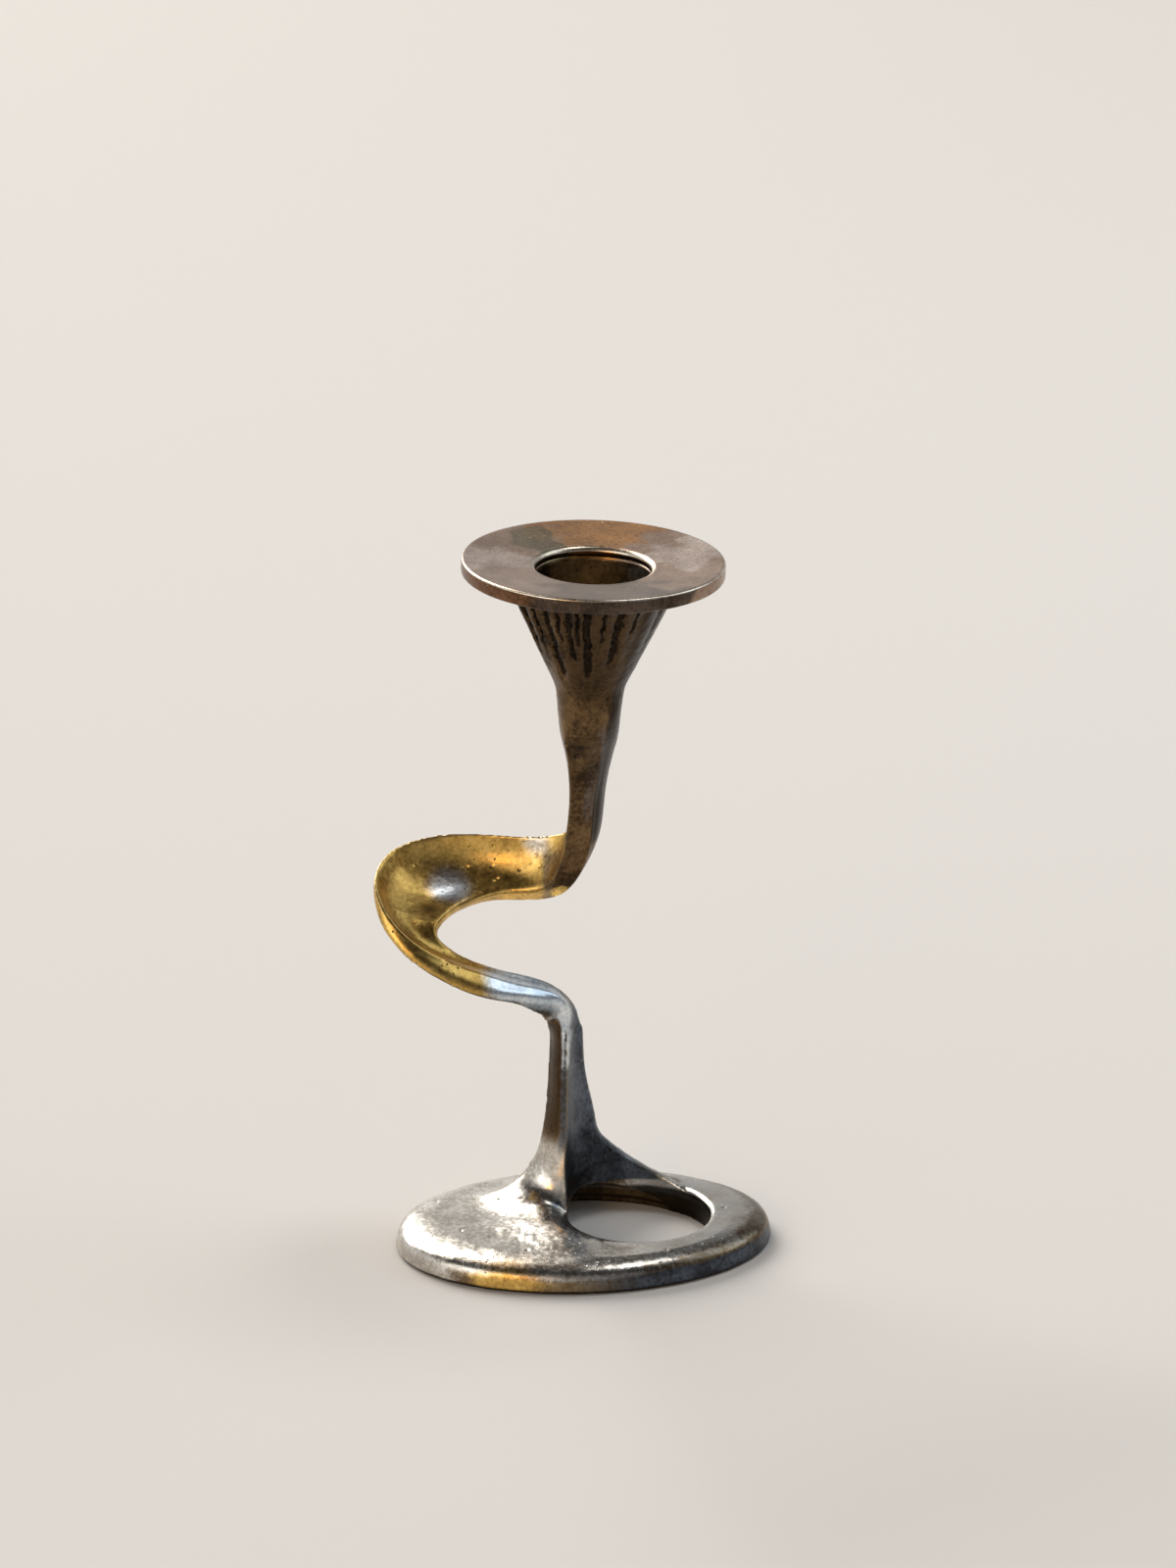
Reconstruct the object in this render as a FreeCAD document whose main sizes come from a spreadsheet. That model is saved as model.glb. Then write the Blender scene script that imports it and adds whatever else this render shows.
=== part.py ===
"""Spiral candle holder: a small cast bronze candle holder whose stem is one twisted ribbon.

The foot is an oval plate with a round hole. A ribbon of metal peels up from the rim of that hole,
stands as a short stem, sweeps out to the left in an open loop, folds upwards at an elbow and opens
into a fluted cup. A turned, dished drip pan lies on the cup. The castings are located by small pins
and brazed to each other.

Frame: +Z up, +X to the right and +Y away from the front. The origin is on the table, under the middle
of the whole part. Millimetres and degrees.
"""
import FreeCAD, Part
import math
import os

import Sketcher

Vector = FreeCAD.Vector
doc = FreeCAD.newDocument("spiral_candle_holder")

# Driving dimensions
SIZES = [
    ("plate_length", 74.0, "long axis of the oval foot plate"),
    ("plate_width", 51.0, "short axis of the oval foot plate"),
    ("plate_thickness", 5.8, "height of the foot plate"),
    ("plate_yaw", 7.5, "how far the plate's long axis is turned, seen from above"),
    ("plate_top_round", 2.4, "rounding of the plate's top edge"),
    ("plate_foot_round", 1.0, "rounding of the plate's bottom edge"),
    ("plate_x", 1.9, "plate's middle, to the right of the origin"),
    ("hole_radius", 14.0, "radius of the hole through the plate"),
    ("hole_x", 10.8, "hole's centre, to the right of the plate's middle"),
    ("hole_y", 1.4, "hole's centre, behind the plate's middle"),
    ("hole_round", 1.2, "rounding of the hole's top edge"),
    ("recess_length", 36.0, "length of the hollow under the root of the stem"),
    ("recess_width", 18.0, "width of that hollow"),
    ("recess_height", 7.0, "height of that hollow"),
    ("recess_x", 1.0, "hollow's middle, to the right of the plate's middle"),
    ("recess_y", 10.0, "hollow's middle, behind the plate's middle"),
    ("loop_reach", 40.0, "how far the loop reaches to the left of the plate's middle"),
    ("loop_depth", 20.0, "how far the loop reaches behind the plate's middle"),
    ("ribbon_edge_round", 0.9, "how softly the ribbon's edges are rounded"),
    ("lip_height", 139.3, "height of the candle hole's lip above the table"),
    ("lip_x", 1.9, "lip's centre, to the right of the plate's middle"),
    ("lip_y", 1.0, "lip's centre, behind the plate's middle"),
    ("axis_lean", 1.5, "how far the cup and the pan lean to the right"),
    ("pan_radius", 25.0, "outer radius of the drip pan"),
    ("pan_thickness", 2.9, "height of the drip pan's rim"),
    ("pan_dish", 1.2, "how far the candle hole lies below the pan's rim"),
    ("pan_edge_round", 0.4, "rounding of the pan's rim"),
    ("lip_width", 1.5, "width of the flat lip round the candle hole"),
    ("lip_round", 0.7, "rounding of the lip's inner edge"),
    ("bore_radius", 11.0, "radius of the candle bore"),
    ("bore_depth", 9.5, "straight depth of the bore in the cup"),
    ("seat_radius", 4.5, "radius of the cup's floor"),
    ("seat_depth", 17.0, "depth of the cup's floor below its mouth"),
    ("cup_height", 23.5, "height of the fluted cup"),
    ("cup_mouth_radius", 17.2, "outer radius of the cup's mouth"),
    ("neck_radius", 6.5, "radius of the cup's neck"),
    ("neck_height", 1.1, "height of the straight neck under the cup's cone"),
    ("neck_round", 4.0, "rounding between the neck and the cone"),
    ("flute_count", 18, "number of flutes round the cup"),
    ("flute_radius", 1.35, "radius of the cutter that makes a flute"),
    ("flute_depth", 0.6, "depth of a flute at the cup's mouth"),
    ("flute_run", 17.0, "how far down the cup the flutes fade out"),
    ("flute_turn", 8.5, "how far the first flute is turned from the right, seen from above"),
    ("braze_gap", 0.3, "thickness of the braze between two pieces"),
    ("pan_braze_width", 4.0, "width of the ring of braze under the pan"),
    ("pin_radius", 0.9, "radius of the pins in the stem and the elbow"),
    ("stem_pin_length", 12.0, "length of the pin in the stem"),
    ("elbow_pin_length", 5.0, "length of the pin in the elbow"),
    ("neck_pin_radius", 1.5, "radius of the pin in the neck"),
    ("neck_pin_length", 7.0, "length of the pin in the neck"),
    ("pin_clearance", 0.05, "radial clearance of a pin in its hole"),
    ("overrun", 1.0, "how far a cutter runs past what it cuts"),
    ("stem_joint_share", 0.265, "height of the stem's joint, as a share of the ribbon's rise"),
    ("elbow_joint_share", 0.165, "place of the elbow's joint, as a share of the loop's reach"),
    ("elbow_floor_share", 0.50, "height between the loop's two arms, as a share of the rise"),
    ("elbow_ceiling_share", 0.74, "height just above the elbow, as a share of the rise"),
]
sheet = doc.addObject("Spreadsheet::Sheet", "sizes")
for row, (alias, value, note) in enumerate(SIZES, start=1):
    sheet.set("A%d" % row, note)
    sheet.set("B%d" % row, str(value))
    sheet.setAlias("B%d" % row, alias)
doc.recompute()

# Lengths that follow from the driving dimensions
PAN_FLOOR = "(sizes.pan_thickness - sizes.pan_dish)"
CUP_TOP_DEPTH = "(" + PAN_FLOOR + " + sizes.braze_gap)"
NECK_DEPTH = "(" + CUP_TOP_DEPTH + " + sizes.cup_height)"
RIBBON_TOP_DEPTH = "(" + NECK_DEPTH + " + sizes.braze_gap)"
RIBBON_TOP = "(sizes.lip_height - " + RIBBON_TOP_DEPTH + " * cos(sizes.axis_lean * 1 deg))"
RIBBON_RISE = "(" + RIBBON_TOP + " - sizes.plate_thickness)"
STEM_JOINT = "(sizes.plate_thickness + sizes.stem_joint_share * " + RIBBON_RISE + ")"
ELBOW_JOINT = "(sizes.plate_x - sizes.elbow_joint_share * sizes.loop_reach)"
ELBOW_FLOOR = "(sizes.plate_thickness + sizes.elbow_floor_share * " + RIBBON_RISE + ")"
ELBOW_CEILING = "(sizes.plate_thickness + sizes.elbow_ceiling_share * " + RIBBON_RISE + ")"
FLARE_SLOPE = ("((sizes.cup_mouth_radius - sizes.neck_radius)"
               " / (sizes.cup_height - sizes.neck_height))")
PIN_HOLE = "(sizes.pin_radius + sizes.pin_clearance)"
NECK_PIN_HOLE = "(sizes.neck_pin_radius + sizes.pin_clearance)"
# How near two sizes of an edge have to be to count as the same
SAME_SIZE = 1e-4

# The ribbon's stations, from inside the foot plate up to the neck
# A section of the ribbon has four corners. The ridge is the stem's front edge and the loop's upper rim.
# The inner and back corners bound the stem's right edge, which is the loop's lower rim. The heel is the
# stem's left edge, and runs on along the loop's outer face. Each station gives those four corners, then
# how far the faces ridge to inner, inner to back, back to heel and heel to ridge bow outwards, as
# shares of their own widths. The last share says where between heel and ridge the shoulder of that
# face stands.

# A height as a share of the plate's thickness, and places in hole radii from the hole's centre
ROOT_SHARES = [
    (0.30, (-1.00, -0.05), (0.80, 0.60), (0.92, 0.96), (-2.70, 0.30), (0.30, 0.0, 0.24, 0.26, 0.50)),
    (0.80, (-1.01, -0.02), (0.76, 0.66), (0.84, 1.02), (-2.60, 0.34), (0.20, 0.0, 0.24, 0.26, 0.50)),
]
# A height as a share of the ribbon's rise above the plate, and places in hole radii
STEM_SHARES = [
    (0.004, (-1.015, 0.02), (0.54, 0.87), (0.46, 1.13), (-2.30, 0.38), (-0.22, 0.0, 0.23, 0.22, 0.52)),
    (0.022, (-1.025, 0.06), (0.22, 1.00), (0.12, 1.24), (-1.96, 0.43), (-0.22, 0.0, 0.20, 0.14, 0.56)),
    (0.048, (-1.035, 0.09), (-0.13, 1.01), (-0.15, 1.22), (-1.72, 0.47), (-0.17, 0.0, 0.16, 0.09, 0.60)),
    (0.078, (-1.045, 0.09), (-0.39, 0.93), (-0.37, 1.12), (-1.53, 0.47), (-0.14, 0.0, 0.14, 0.08, 0.63)),
    (0.108, (-1.035, 0.09), (-0.56, 0.84), (-0.53, 1.00), (-1.435, 0.46), (-0.12, 0.0, 0.12, 0.09, 0.65)),
    (0.145, (-1.015, 0.10), (-0.635, 0.76), (-0.60, 0.91), (-1.38, 0.45), (-0.10, 0.0, 0.10, 0.10, 0.66)),
    (0.190, (-0.995, 0.11), (-0.70, 0.67), (-0.67, 0.83), (-1.325, 0.45), (-0.09, 0.0, 0.10, 0.11, 0.66)),
    (0.240, (-0.995, 0.11), (-0.755, 0.60), (-0.745, 0.75), (-1.29, 0.44), (-0.08, 0.0, 0.10, 0.12, 0.66)),
    (0.290, (-0.993, 0.11), (-0.775, 0.57), (-0.775, 0.71), (-1.27, 0.44), (-0.08, 0.0, 0.10, 0.12, 0.66)),
    (0.330, (-0.99, 0.08), (-0.785, 0.55), (-0.80, 0.68), (-1.265, 0.42), (-0.08, 0.0, 0.10, 0.13, 0.65)),
]
# Places as shares of the loop's reach and depth from the plate's middle, and of the ribbon's rise
LOOP_SHARES = [
    ((-0.074, 0.130, 0.374), (-0.015, 0.460, 0.340), (-0.025, 0.530, 0.339), (-0.187, 0.310, 0.348),
     (-0.06, 0.0, 0.08, 0.13, 0.64)),
    ((-0.081, 0.145, 0.398), (-0.032, 0.440, 0.369), (-0.045, 0.515, 0.361), (-0.208, 0.190, 0.369),
     (-0.04, 0.0, 0.08, 0.15, 0.57)),
    ((-0.121, 0.130, 0.418), (-0.078, 0.400, 0.400), (-0.095, 0.475, 0.384), (-0.250, 0.030, 0.393),
     (-0.04, 0.0, 0.08, 0.17, 0.48)),
    ((-0.207, 0.075, 0.435), (-0.161, 0.340, 0.429), (-0.175, 0.420, 0.405), (-0.325, -0.095, 0.416),
     (-0.05, 0.0, 0.08, 0.17, 0.41)),
    ((-0.339, -0.015, 0.453), (-0.290, 0.250, 0.453), (-0.307, 0.335, 0.429), (-0.428, -0.205, 0.432),
     (-0.06, 0.0, 0.08, 0.16, 0.37)),
    ((-0.480, -0.110, 0.477), (-0.416, 0.160, 0.471), (-0.433, 0.245, 0.448), (-0.541, -0.285, 0.449),
     (-0.07, 0.0, 0.08, 0.15, 0.36)),
    ((-0.620, -0.185, 0.503), (-0.536, 0.090, 0.492), (-0.549, 0.170, 0.471), (-0.661, -0.330, 0.474),
     (-0.08, 0.0, 0.08, 0.14, 0.40)),
    ((-0.757, -0.210, 0.531), (-0.627, 0.050, 0.513), (-0.634, 0.125, 0.494), (-0.792, -0.310, 0.503),
     (-0.09, 0.0, 0.08, 0.13, 0.44)),
    ((-0.876, -0.170, 0.562), (-0.683, 0.040, 0.531), (-0.683, 0.100, 0.515), (-0.904, -0.205, 0.536),
     (-0.11, 0.0, 0.08, 0.11, 0.48)),
    ((-0.965, -0.040, 0.596), (-0.708, 0.060, 0.544), (-0.702, 0.110, 0.530), (-0.981, -0.035, 0.569),
     (-0.13, 0.0, 0.06, 0.09, 0.50)),
    ((-1.008, 0.150, 0.628), (-0.709, 0.120, 0.555), (-0.699, 0.165, 0.541), (-1.010, 0.200, 0.599),
     (-0.15, 0.0, 0.06, 0.06, 0.50)),
    ((-1.000, 0.420, 0.648), (-0.684, 0.220, 0.561), (-0.675, 0.290, 0.547), (-0.985, 0.470, 0.622),
     (-0.16, 0.0, 0.08, 0.06, 0.50)),
    ((-0.930, 0.680, 0.664), (-0.634, 0.370, 0.566), (-0.628, 0.470, 0.551), (-0.902, 0.730, 0.628),
     (-0.16, 0.0, 0.08, 0.06, 0.50)),
    ((-0.800, 0.850, 0.674), (-0.540, 0.520, 0.573), (-0.540, 0.630, 0.556), (-0.760, 0.900, 0.630),
     (-0.15, 0.0, 0.08, 0.06, 0.50)),
    ((-0.635, 0.920, 0.679), (-0.435, 0.600, 0.582), (-0.435, 0.715, 0.559), (-0.590, 0.950, 0.632),
     (-0.14, 0.0, 0.08, 0.06, 0.50)),
    ((-0.455, 0.900, 0.679), (-0.335, 0.610, 0.585), (-0.330, 0.725, 0.559), (-0.430, 0.950, 0.632),
     (-0.13, 0.0, 0.08, 0.06, 0.50)),
    ((-0.290, 0.830, 0.680), (-0.245, 0.565, 0.589), (-0.240, 0.695, 0.561), (-0.272, 0.900, 0.632),
     (-0.11, 0.0, 0.08, 0.06, 0.50)),
    ((-0.178, 0.760, 0.686), (-0.178, 0.505, 0.604), (-0.160, 0.645, 0.568), (-0.155, 0.830, 0.636),
     (-0.08, 0.0, 0.08, 0.06, 0.50)),
    ((-0.090, 0.660, 0.700), (-0.135, 0.425, 0.636), (-0.082, 0.525, 0.590), (-0.030, 0.770, 0.650),
     (-0.05, 0.04, 0.08, 0.06, 0.50)),
    ((-0.058, 0.580, 0.724), (-0.110, 0.350, 0.672), (-0.020, 0.425, 0.628), (0.042, 0.700, 0.680),
     (-0.02, 0.06, 0.08, 0.06, 0.50)),
    ((-0.045, 0.540, 0.755), (-0.088, 0.290, 0.716), (0.030, 0.350, 0.684), (0.088, 0.650, 0.722),
     (0.02, 0.08, 0.10, 0.08, 0.50)),
    ((-0.048, 0.500, 0.780), (-0.072, 0.230, 0.775), (0.050, 0.290, 0.765), (0.106, 0.590, 0.775),
     (0.04, 0.08, 0.10, 0.08, 0.50)),
    ((-0.055, 0.440, 0.830), (-0.070, 0.125, 0.830), (0.072, 0.175, 0.830), (0.125, 0.490, 0.830),
     (0.05, 0.08, 0.10, 0.05, 0.50)),
    ((-0.080, 0.370, 0.885), (-0.080, -0.020, 0.885), (0.090, 0.010, 0.885), (0.152, 0.390, 0.885),
     (0.06, 0.08, 0.12, -0.02, 0.50)),
    ((-0.108, 0.330, 0.935), (-0.090, -0.155, 0.935), (0.105, -0.165, 0.935), (0.166, 0.300, 0.935),
     (0.08, 0.12, 0.16, 0.06, 0.50)),
]
# The two round stations at the neck: how deep below the ribbon's top and how wide, in neck radii
NECK_SHARES = [
    (0.50, 0.950),
    (0.00, 1.000),
]
# The most of a narrow face that its rounded corners may take
CORNER_SHARE = 0.3
# Where a face has its control points along its width, and how much of the bow each takes
FACE_SHARES = [(0.25, 0.75), (0.50, 1.00), (0.75, 0.75)]
# The narrow face at the loop's lower rim has a single one
RIM_SHARES = [(0.50, 1.00)]
# The same for the face from heel to ridge: the first as a share of the way to the shoulder, and the
# last as a share of the way from the shoulder to the ridge
SHOULDER_SHARES = [(0.50, 0.65), (0.50, 0.60)]


def size(words):
    """The value of an expression of the sheet's cells."""
    return float(sheet.evalExpression(words))


def bind(thing, **words):
    """Binds the object's properties to expressions of the sheet's cells."""
    for name, expression in words.items():
        thing.setExpression(name, expression)


def place(thing, x, y, z):
    """Binds the object's place to expressions of the sheet's cells."""
    for letter, expression in (("x", x), ("y", y), ("z", z)):
        thing.setExpression("Placement.Base." + letter, expression)


def combine(kind, label, first, second):
    """A boolean of two objects: kind is Cut, Common or Fuse."""
    result = doc.addObject("Part::" + kind, label)
    result.Base = first
    result.Tool = second
    result.Refine = False
    result.Label = label
    return result


def origin_feature(body, role):
    """One of the body's own origin planes or axes."""
    return next(feature for feature in body.Origin.OriginFeatures if feature.Role == role)


def new_sketch(body, name, role):
    """An empty sketch on one of the body's own origin planes."""
    sketch = body.newObject("Sketcher::SketchObject", name)
    sketch.AttachmentSupport = [(origin_feature(body, role), "")]
    sketch.MapMode = "FlatFace"
    return sketch


def draw_outline(sketch, corners):
    """Draws a closed outline of straight lines whose corners are bound to expressions."""
    places = [Vector(size(x), size(y), 0) for x, y in corners]
    for number, start in enumerate(places):
        sketch.addGeometry(Part.LineSegment(start, places[(number + 1) % len(places)]))
    for number in range(len(places)):
        sketch.addConstraint(Sketcher.Constraint("Coincident", number, 2, (number + 1) % len(places), 1))
    for number, (x, y) in enumerate(corners):
        for kind, words, axis in (("DistanceX", x, -2), ("DistanceY", y, -1)):
            if words == "0":
                sketch.addConstraint(Sketcher.Constraint("PointOnObject", number, 1, axis))
                continue
            rule = sketch.addConstraint(Sketcher.Constraint(kind, -1, 1, number, 1, size(words)))
            sketch.setExpression("Constraints[%d]" % rule, words)


def revolve(body, name, sketch):
    """Turns the sketch fully round the body's own vertical axis."""
    turned = body.newObject("PartDesign::Revolution", name)
    turned.Profile = sketch
    turned.ReferenceAxis = (origin_feature(body, "Z_Axis"), [""])
    turned.Angle = 360
    doc.recompute()
    return turned


def round_edges(body, name, base, radius, wanted):
    """Rounds those edges of the base that the test wanted picks."""
    names = ["Edge%d" % n for n, edge in enumerate(base.Shape.Edges, start=1) if wanted(edge)]
    fillet = body.newObject("PartDesign::Fillet", name)
    fillet.Base = (base, names)
    bind(fillet, Radius=radius)
    doc.recompute()
    return fillet


def at_height(height):
    """A test for edges that lie level at the given height."""
    return lambda edge: max(abs(edge.BoundBox.ZMin - height), abs(edge.BoundBox.ZMax - height)) < SAME_SIZE


def ring_edge(radius, height):
    """A test for a level round edge of the given radius."""
    level = at_height(height)
    return lambda edge: level(edge) and abs(edge.BoundBox.XLength / 2 - radius) < SAME_SIZE


def lean_axis():
    """Unit vector up along the cup and the pan."""
    lean = math.radians(size("sizes.axis_lean"))
    return Vector(math.sin(lean), 0, math.cos(lean))


def below_lip(depth):
    """The placement on the cup's axis that lies depth below the lip, leaning with it."""
    lip = Vector(size("sizes.plate_x + sizes.lip_x"), size("sizes.lip_y"), size("sizes.lip_height"))
    lean = FreeCAD.Rotation(Vector(0, 1, 0), size("sizes.axis_lean"))
    return FreeCAD.Placement(lip - lean_axis() * size(depth), lean)


# The whole ribbon, as one smooth surface that the joints then part
def section_points(corners, bows, softness):
    """Control points of one section, from just before the ridge round to the heel's face."""
    middle = sum(corners, Vector()) * (1 / len(corners))
    across = (corners[2] - corners[0]).cross(corners[3] - corners[1])
    shoulder = bows[4]
    (before_place, before_bow), (past_place, past_bow) = SHOULDER_SHARES
    shouldered = [(shoulder * before_place, before_bow), (shoulder, 1),
                  (shoulder + (1 - shoulder) * past_place, past_bow)]
    face_places = [FACE_SHARES, RIM_SHARES, FACE_SHARES, shouldered]
    points = []
    for number, corner in enumerate(corners):
        after = corners[(number + 1) % len(corners)]
        back = corners[number - 1] - corner
        face = after - corner
        points.append(corner + back * min(softness / back.Length, CORNER_SHARE))
        points.append(corner)
        points.append(corner + face * min(softness / face.Length, CORNER_SHARE))
        outwards = face.cross(across).normalize()
        if outwards.dot((corner + after) * 0.5 - middle) < 0:
            outwards = outwards * -1
        for place_share, bow_share in face_places[number]:
            points.append(corner + face * place_share + outwards * (face.Length * bows[number] * bow_share))
    return points


def ring_points(centre, radius, count, start):
    """Control points of a round section square to the cup's axis, beginning on the side of start."""
    # A closed cubic spline passes inside its control points, so they stand that much further out
    arm_length = radius * 3 / (2 + math.cos(2 * math.pi / count))
    axis = lean_axis()
    towards = start - centre
    towards = (towards - axis * towards.dot(axis)).normalize()
    sideways = axis.cross(towards)
    points = []
    for number in range(count):
        turn = 2 * math.pi * number / count
        arm = towards * math.cos(turn) + sideways * math.sin(turn)
        points.append(centre + arm * arm_length)
    return points


def ribbon_sections():
    """Control points of every section of the ribbon."""
    thick = size("sizes.plate_thickness")
    rise = size(RIBBON_RISE)
    softness = size("sizes.ribbon_edge_round")
    radius = size("sizes.hole_radius")
    hole = Vector(size("sizes.plate_x + sizes.hole_x"), size("sizes.hole_y"), 0)
    plate = Vector(size("sizes.plate_x"), 0, thick)
    reach = size("sizes.loop_reach")
    depth = size("sizes.loop_depth")
    rooted = [(thick * share, *rest) for share, *rest in ROOT_SHARES]
    rooted += [(thick + rise * share, *rest) for share, *rest in STEM_SHARES]
    sections = []
    for height, *corners, bows in rooted:
        places = [hole + Vector(x * radius, y * radius, height) for x, y in corners]
        sections.append(section_points(places, bows, softness))
    for *corners, bows in LOOP_SHARES:
        places = [plate + Vector(x * reach, y * depth, z * rise) for x, y, z in corners]
        sections.append(section_points(places, bows, softness))
    neck = size("sizes.neck_radius")
    top = below_lip(RIBBON_TOP_DEPTH).Base
    for depth_share, radius_share in NECK_SHARES:
        centre = top - lean_axis() * (neck * depth_share)
        sections.append(ring_points(centre, neck * radius_share, len(sections[0]), sections[-1][0]))
    return sections


def ribbon_solid():
    """The whole ribbon as one smooth surface through its sections, closed by two flat ends."""
    sections = ribbon_sections()
    steps = [0.0]
    for before, after in zip(sections, sections[1:]):
        stride = sum((a - b).Length for a, b in zip(after, before)) / len(after)
        steps.append(steps[-1] + math.sqrt(stride))
    rows = []
    for column in zip(*sections):
        curve = Part.BSplineCurve()
        curve.interpolate(Points=list(column), Parameters=steps)
        rows.append(curve.getPoles())
    around = [float(number) for number in range(len(rows) + 1)]
    surface = Part.BSplineSurface()
    surface.buildFromPolesMultsKnots(
        rows, [1] * len(around), curve.getMultiplicities(), around, curve.getKnots(), True, False, 3, 3)
    side = surface.toShape()
    ends = [Part.Face(Part.Wire(edge)) for edge in side.Edges if edge.isClosed()]
    shell = Part.Shell([side] + ends)
    shell.sewShape()
    solid = Part.Solid(shell)
    if solid.Volume < 0:
        solid.reverse()
    return solid


ribbon = doc.addObject("Part::Feature", "ribbon")
ribbon.Shape = ribbon_solid()


def elbow_run():
    """Unit vector along the ribbon where it passes the joint at the elbow."""
    middles = [sum(points, Vector()) * (1 / len(points)) for points in ribbon_sections()]
    passed = next(number for number in range(len(middles) - 1, 0, -1)
                  if middles[number].x < size(ELBOW_JOINT))
    return (middles[passed + 1] - middles[passed]).normalize()


def joint_box(name, bottom, height, left=None):
    """A box as wide as the object from bottom up by height, and from left on where that is given."""
    box = doc.addObject("Part::Box", name)
    bind(box, Length="2 * sizes.plate_length", Width="2 * sizes.plate_length", Height=height)
    place(box, left or "-sizes.plate_length", "-sizes.plate_length", bottom)
    return box


def past_elbow(name, left):
    """The space beyond the joint at the elbow: right of left, and all that is above the elbow."""
    beside = joint_box(name + "_beside", ELBOW_FLOOR, RIBBON_RISE, left)
    above = joint_box(name + "_above", ELBOW_CEILING, RIBBON_RISE)
    return combine("Fuse", name, beside, above)


def pin_at(label, radius, length, film, direction):
    """A pin through the middle of a film of braze, along direction."""
    pin = doc.addObject("Part::Cylinder", label)
    pin.Label = label
    bind(pin, Radius=radius, Height=length)
    middle = film.Shape.Solids[0].CenterOfMass
    turn = FreeCAD.Rotation(Vector(0, 0, 1), direction)
    pin.Placement = FreeCAD.Placement(middle - direction * (size(length) / 2), turn)
    return pin


def pin_hole(name, pin, radius, length):
    """The hole for a pin: as long as the pin and its clearance at each end."""
    hole = doc.addObject("Part::Cylinder", name)
    bind(hole, Radius=radius, Height=length + " + 2 * sizes.pin_clearance")
    direction = pin.Placement.Rotation.multVec(Vector(0, 0, 1))
    start = pin.Placement.Base - direction * size("sizes.pin_clearance")
    hole.Placement = FreeCAD.Placement(start, pin.Placement.Rotation)
    return hole


# The joint in the stem: a film of braze round a steel pin, between the foot and the loop
stem_slice = joint_box("stem_slice", STEM_JOINT, "sizes.braze_gap")
stem_film = combine("Common", "stem_film", ribbon, stem_slice)
doc.recompute()
stem_pin = pin_at("stem_pin", "sizes.pin_radius", "sizes.stem_pin_length", stem_film, Vector(0, 0, 1))
stem_pin_hole = pin_hole("stem_pin_hole", stem_pin, PIN_HOLE, "sizes.stem_pin_length")
stem_braze = combine("Cut", "stem_braze", stem_film, stem_pin_hole)

# The joint at the elbow: the same, but upright, between the loop and the upper stem
elbow_slice = joint_box("elbow_slice", ELBOW_FLOOR, ELBOW_CEILING + " - " + ELBOW_FLOOR, ELBOW_JOINT)
bind(elbow_slice, Length="sizes.braze_gap")
elbow_film = combine("Common", "elbow_film", ribbon, elbow_slice)
doc.recompute()
elbow_pin = pin_at("elbow_pin", "sizes.pin_radius", "sizes.elbow_pin_length", elbow_film, elbow_run())
elbow_pin_hole = pin_hole("elbow_pin_hole", elbow_pin, PIN_HOLE, "sizes.elbow_pin_length")
elbow_braze = combine("Cut", "elbow_braze", elbow_film, elbow_pin_hole)

# The joint at the neck: a round film and a thicker pin, square to the cup's axis
neck_film = doc.addObject("Part::Cylinder", "neck_film")
bind(neck_film, Radius="sizes.neck_radius", Height="sizes.braze_gap")
neck_film.Placement = below_lip(RIBBON_TOP_DEPTH)
doc.recompute()
neck_pin = pin_at("neck_pin", "sizes.neck_pin_radius", "sizes.neck_pin_length", neck_film, lean_axis())
neck_pin_hole = pin_hole("neck_pin_hole", neck_pin, NECK_PIN_HOLE, "sizes.neck_pin_length")
neck_braze = combine("Cut", "neck_braze", neck_film, neck_pin_hole)

# The foot: the oval plate with its hole
plate = doc.addObject("PartDesign::Body", "plate")
oval = new_sketch(plate, "plate_oval", "XY_Plane")
plate_end = Vector(size("sizes.plate_length / 2"), 0, 0)
plate_side = Vector(0, size("sizes.plate_width / 2"), 0)
ring = oval.addGeometry(Part.Ellipse(plate_end, plate_side, Vector(0, 0, 0)))
oval.exposeInternalGeometry(ring)
long_axis = ring + 1
short_axis = ring + 2
oval.addConstraint(Sketcher.Constraint("Coincident", ring, 3, -1, 1))
oval.addConstraint(Sketcher.Constraint("Horizontal", long_axis))
for axis, words in ((long_axis, "sizes.plate_length"), (short_axis, "sizes.plate_width")):
    rule = oval.addConstraint(Sketcher.Constraint("Distance", axis, size(words)))
    oval.setExpression("Constraints[%d]" % rule, words)
slab = plate.newObject("PartDesign::Pad", "plate_slab")
slab.Profile = oval
bind(slab, Length="sizes.plate_thickness")
doc.recompute()
softened = round_edges(plate, "plate_top_edge", slab, "sizes.plate_top_round",
                       at_height(size("sizes.plate_thickness")))
softened = round_edges(plate, "plate_foot_edge", softened, "sizes.plate_foot_round", at_height(0))
bore = plate.newObject("PartDesign::SubtractiveCylinder", "plate_hole")
bind(bore, Radius="sizes.hole_radius", Height="sizes.plate_thickness + 2 * sizes.overrun")
hole_turn = FreeCAD.Rotation(Vector(0, 0, 1), -size("sizes.plate_yaw"))
hole_centre = hole_turn.multVec(Vector(size("sizes.hole_x"), size("sizes.hole_y"), 0))
bore.Placement = FreeCAD.Placement(hole_centre - Vector(0, 0, size("sizes.overrun")), FreeCAD.Rotation())
doc.recompute()
round_edges(plate, "hole_top_edge", bore, "sizes.hole_round",
            ring_edge(size("sizes.hole_radius"), size("sizes.plate_thickness")))
plate.Placement = FreeCAD.Placement(
    Vector(size("sizes.plate_x"), 0, 0), FreeCAD.Rotation(Vector(0, 0, 1), size("sizes.plate_yaw")))

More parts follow.
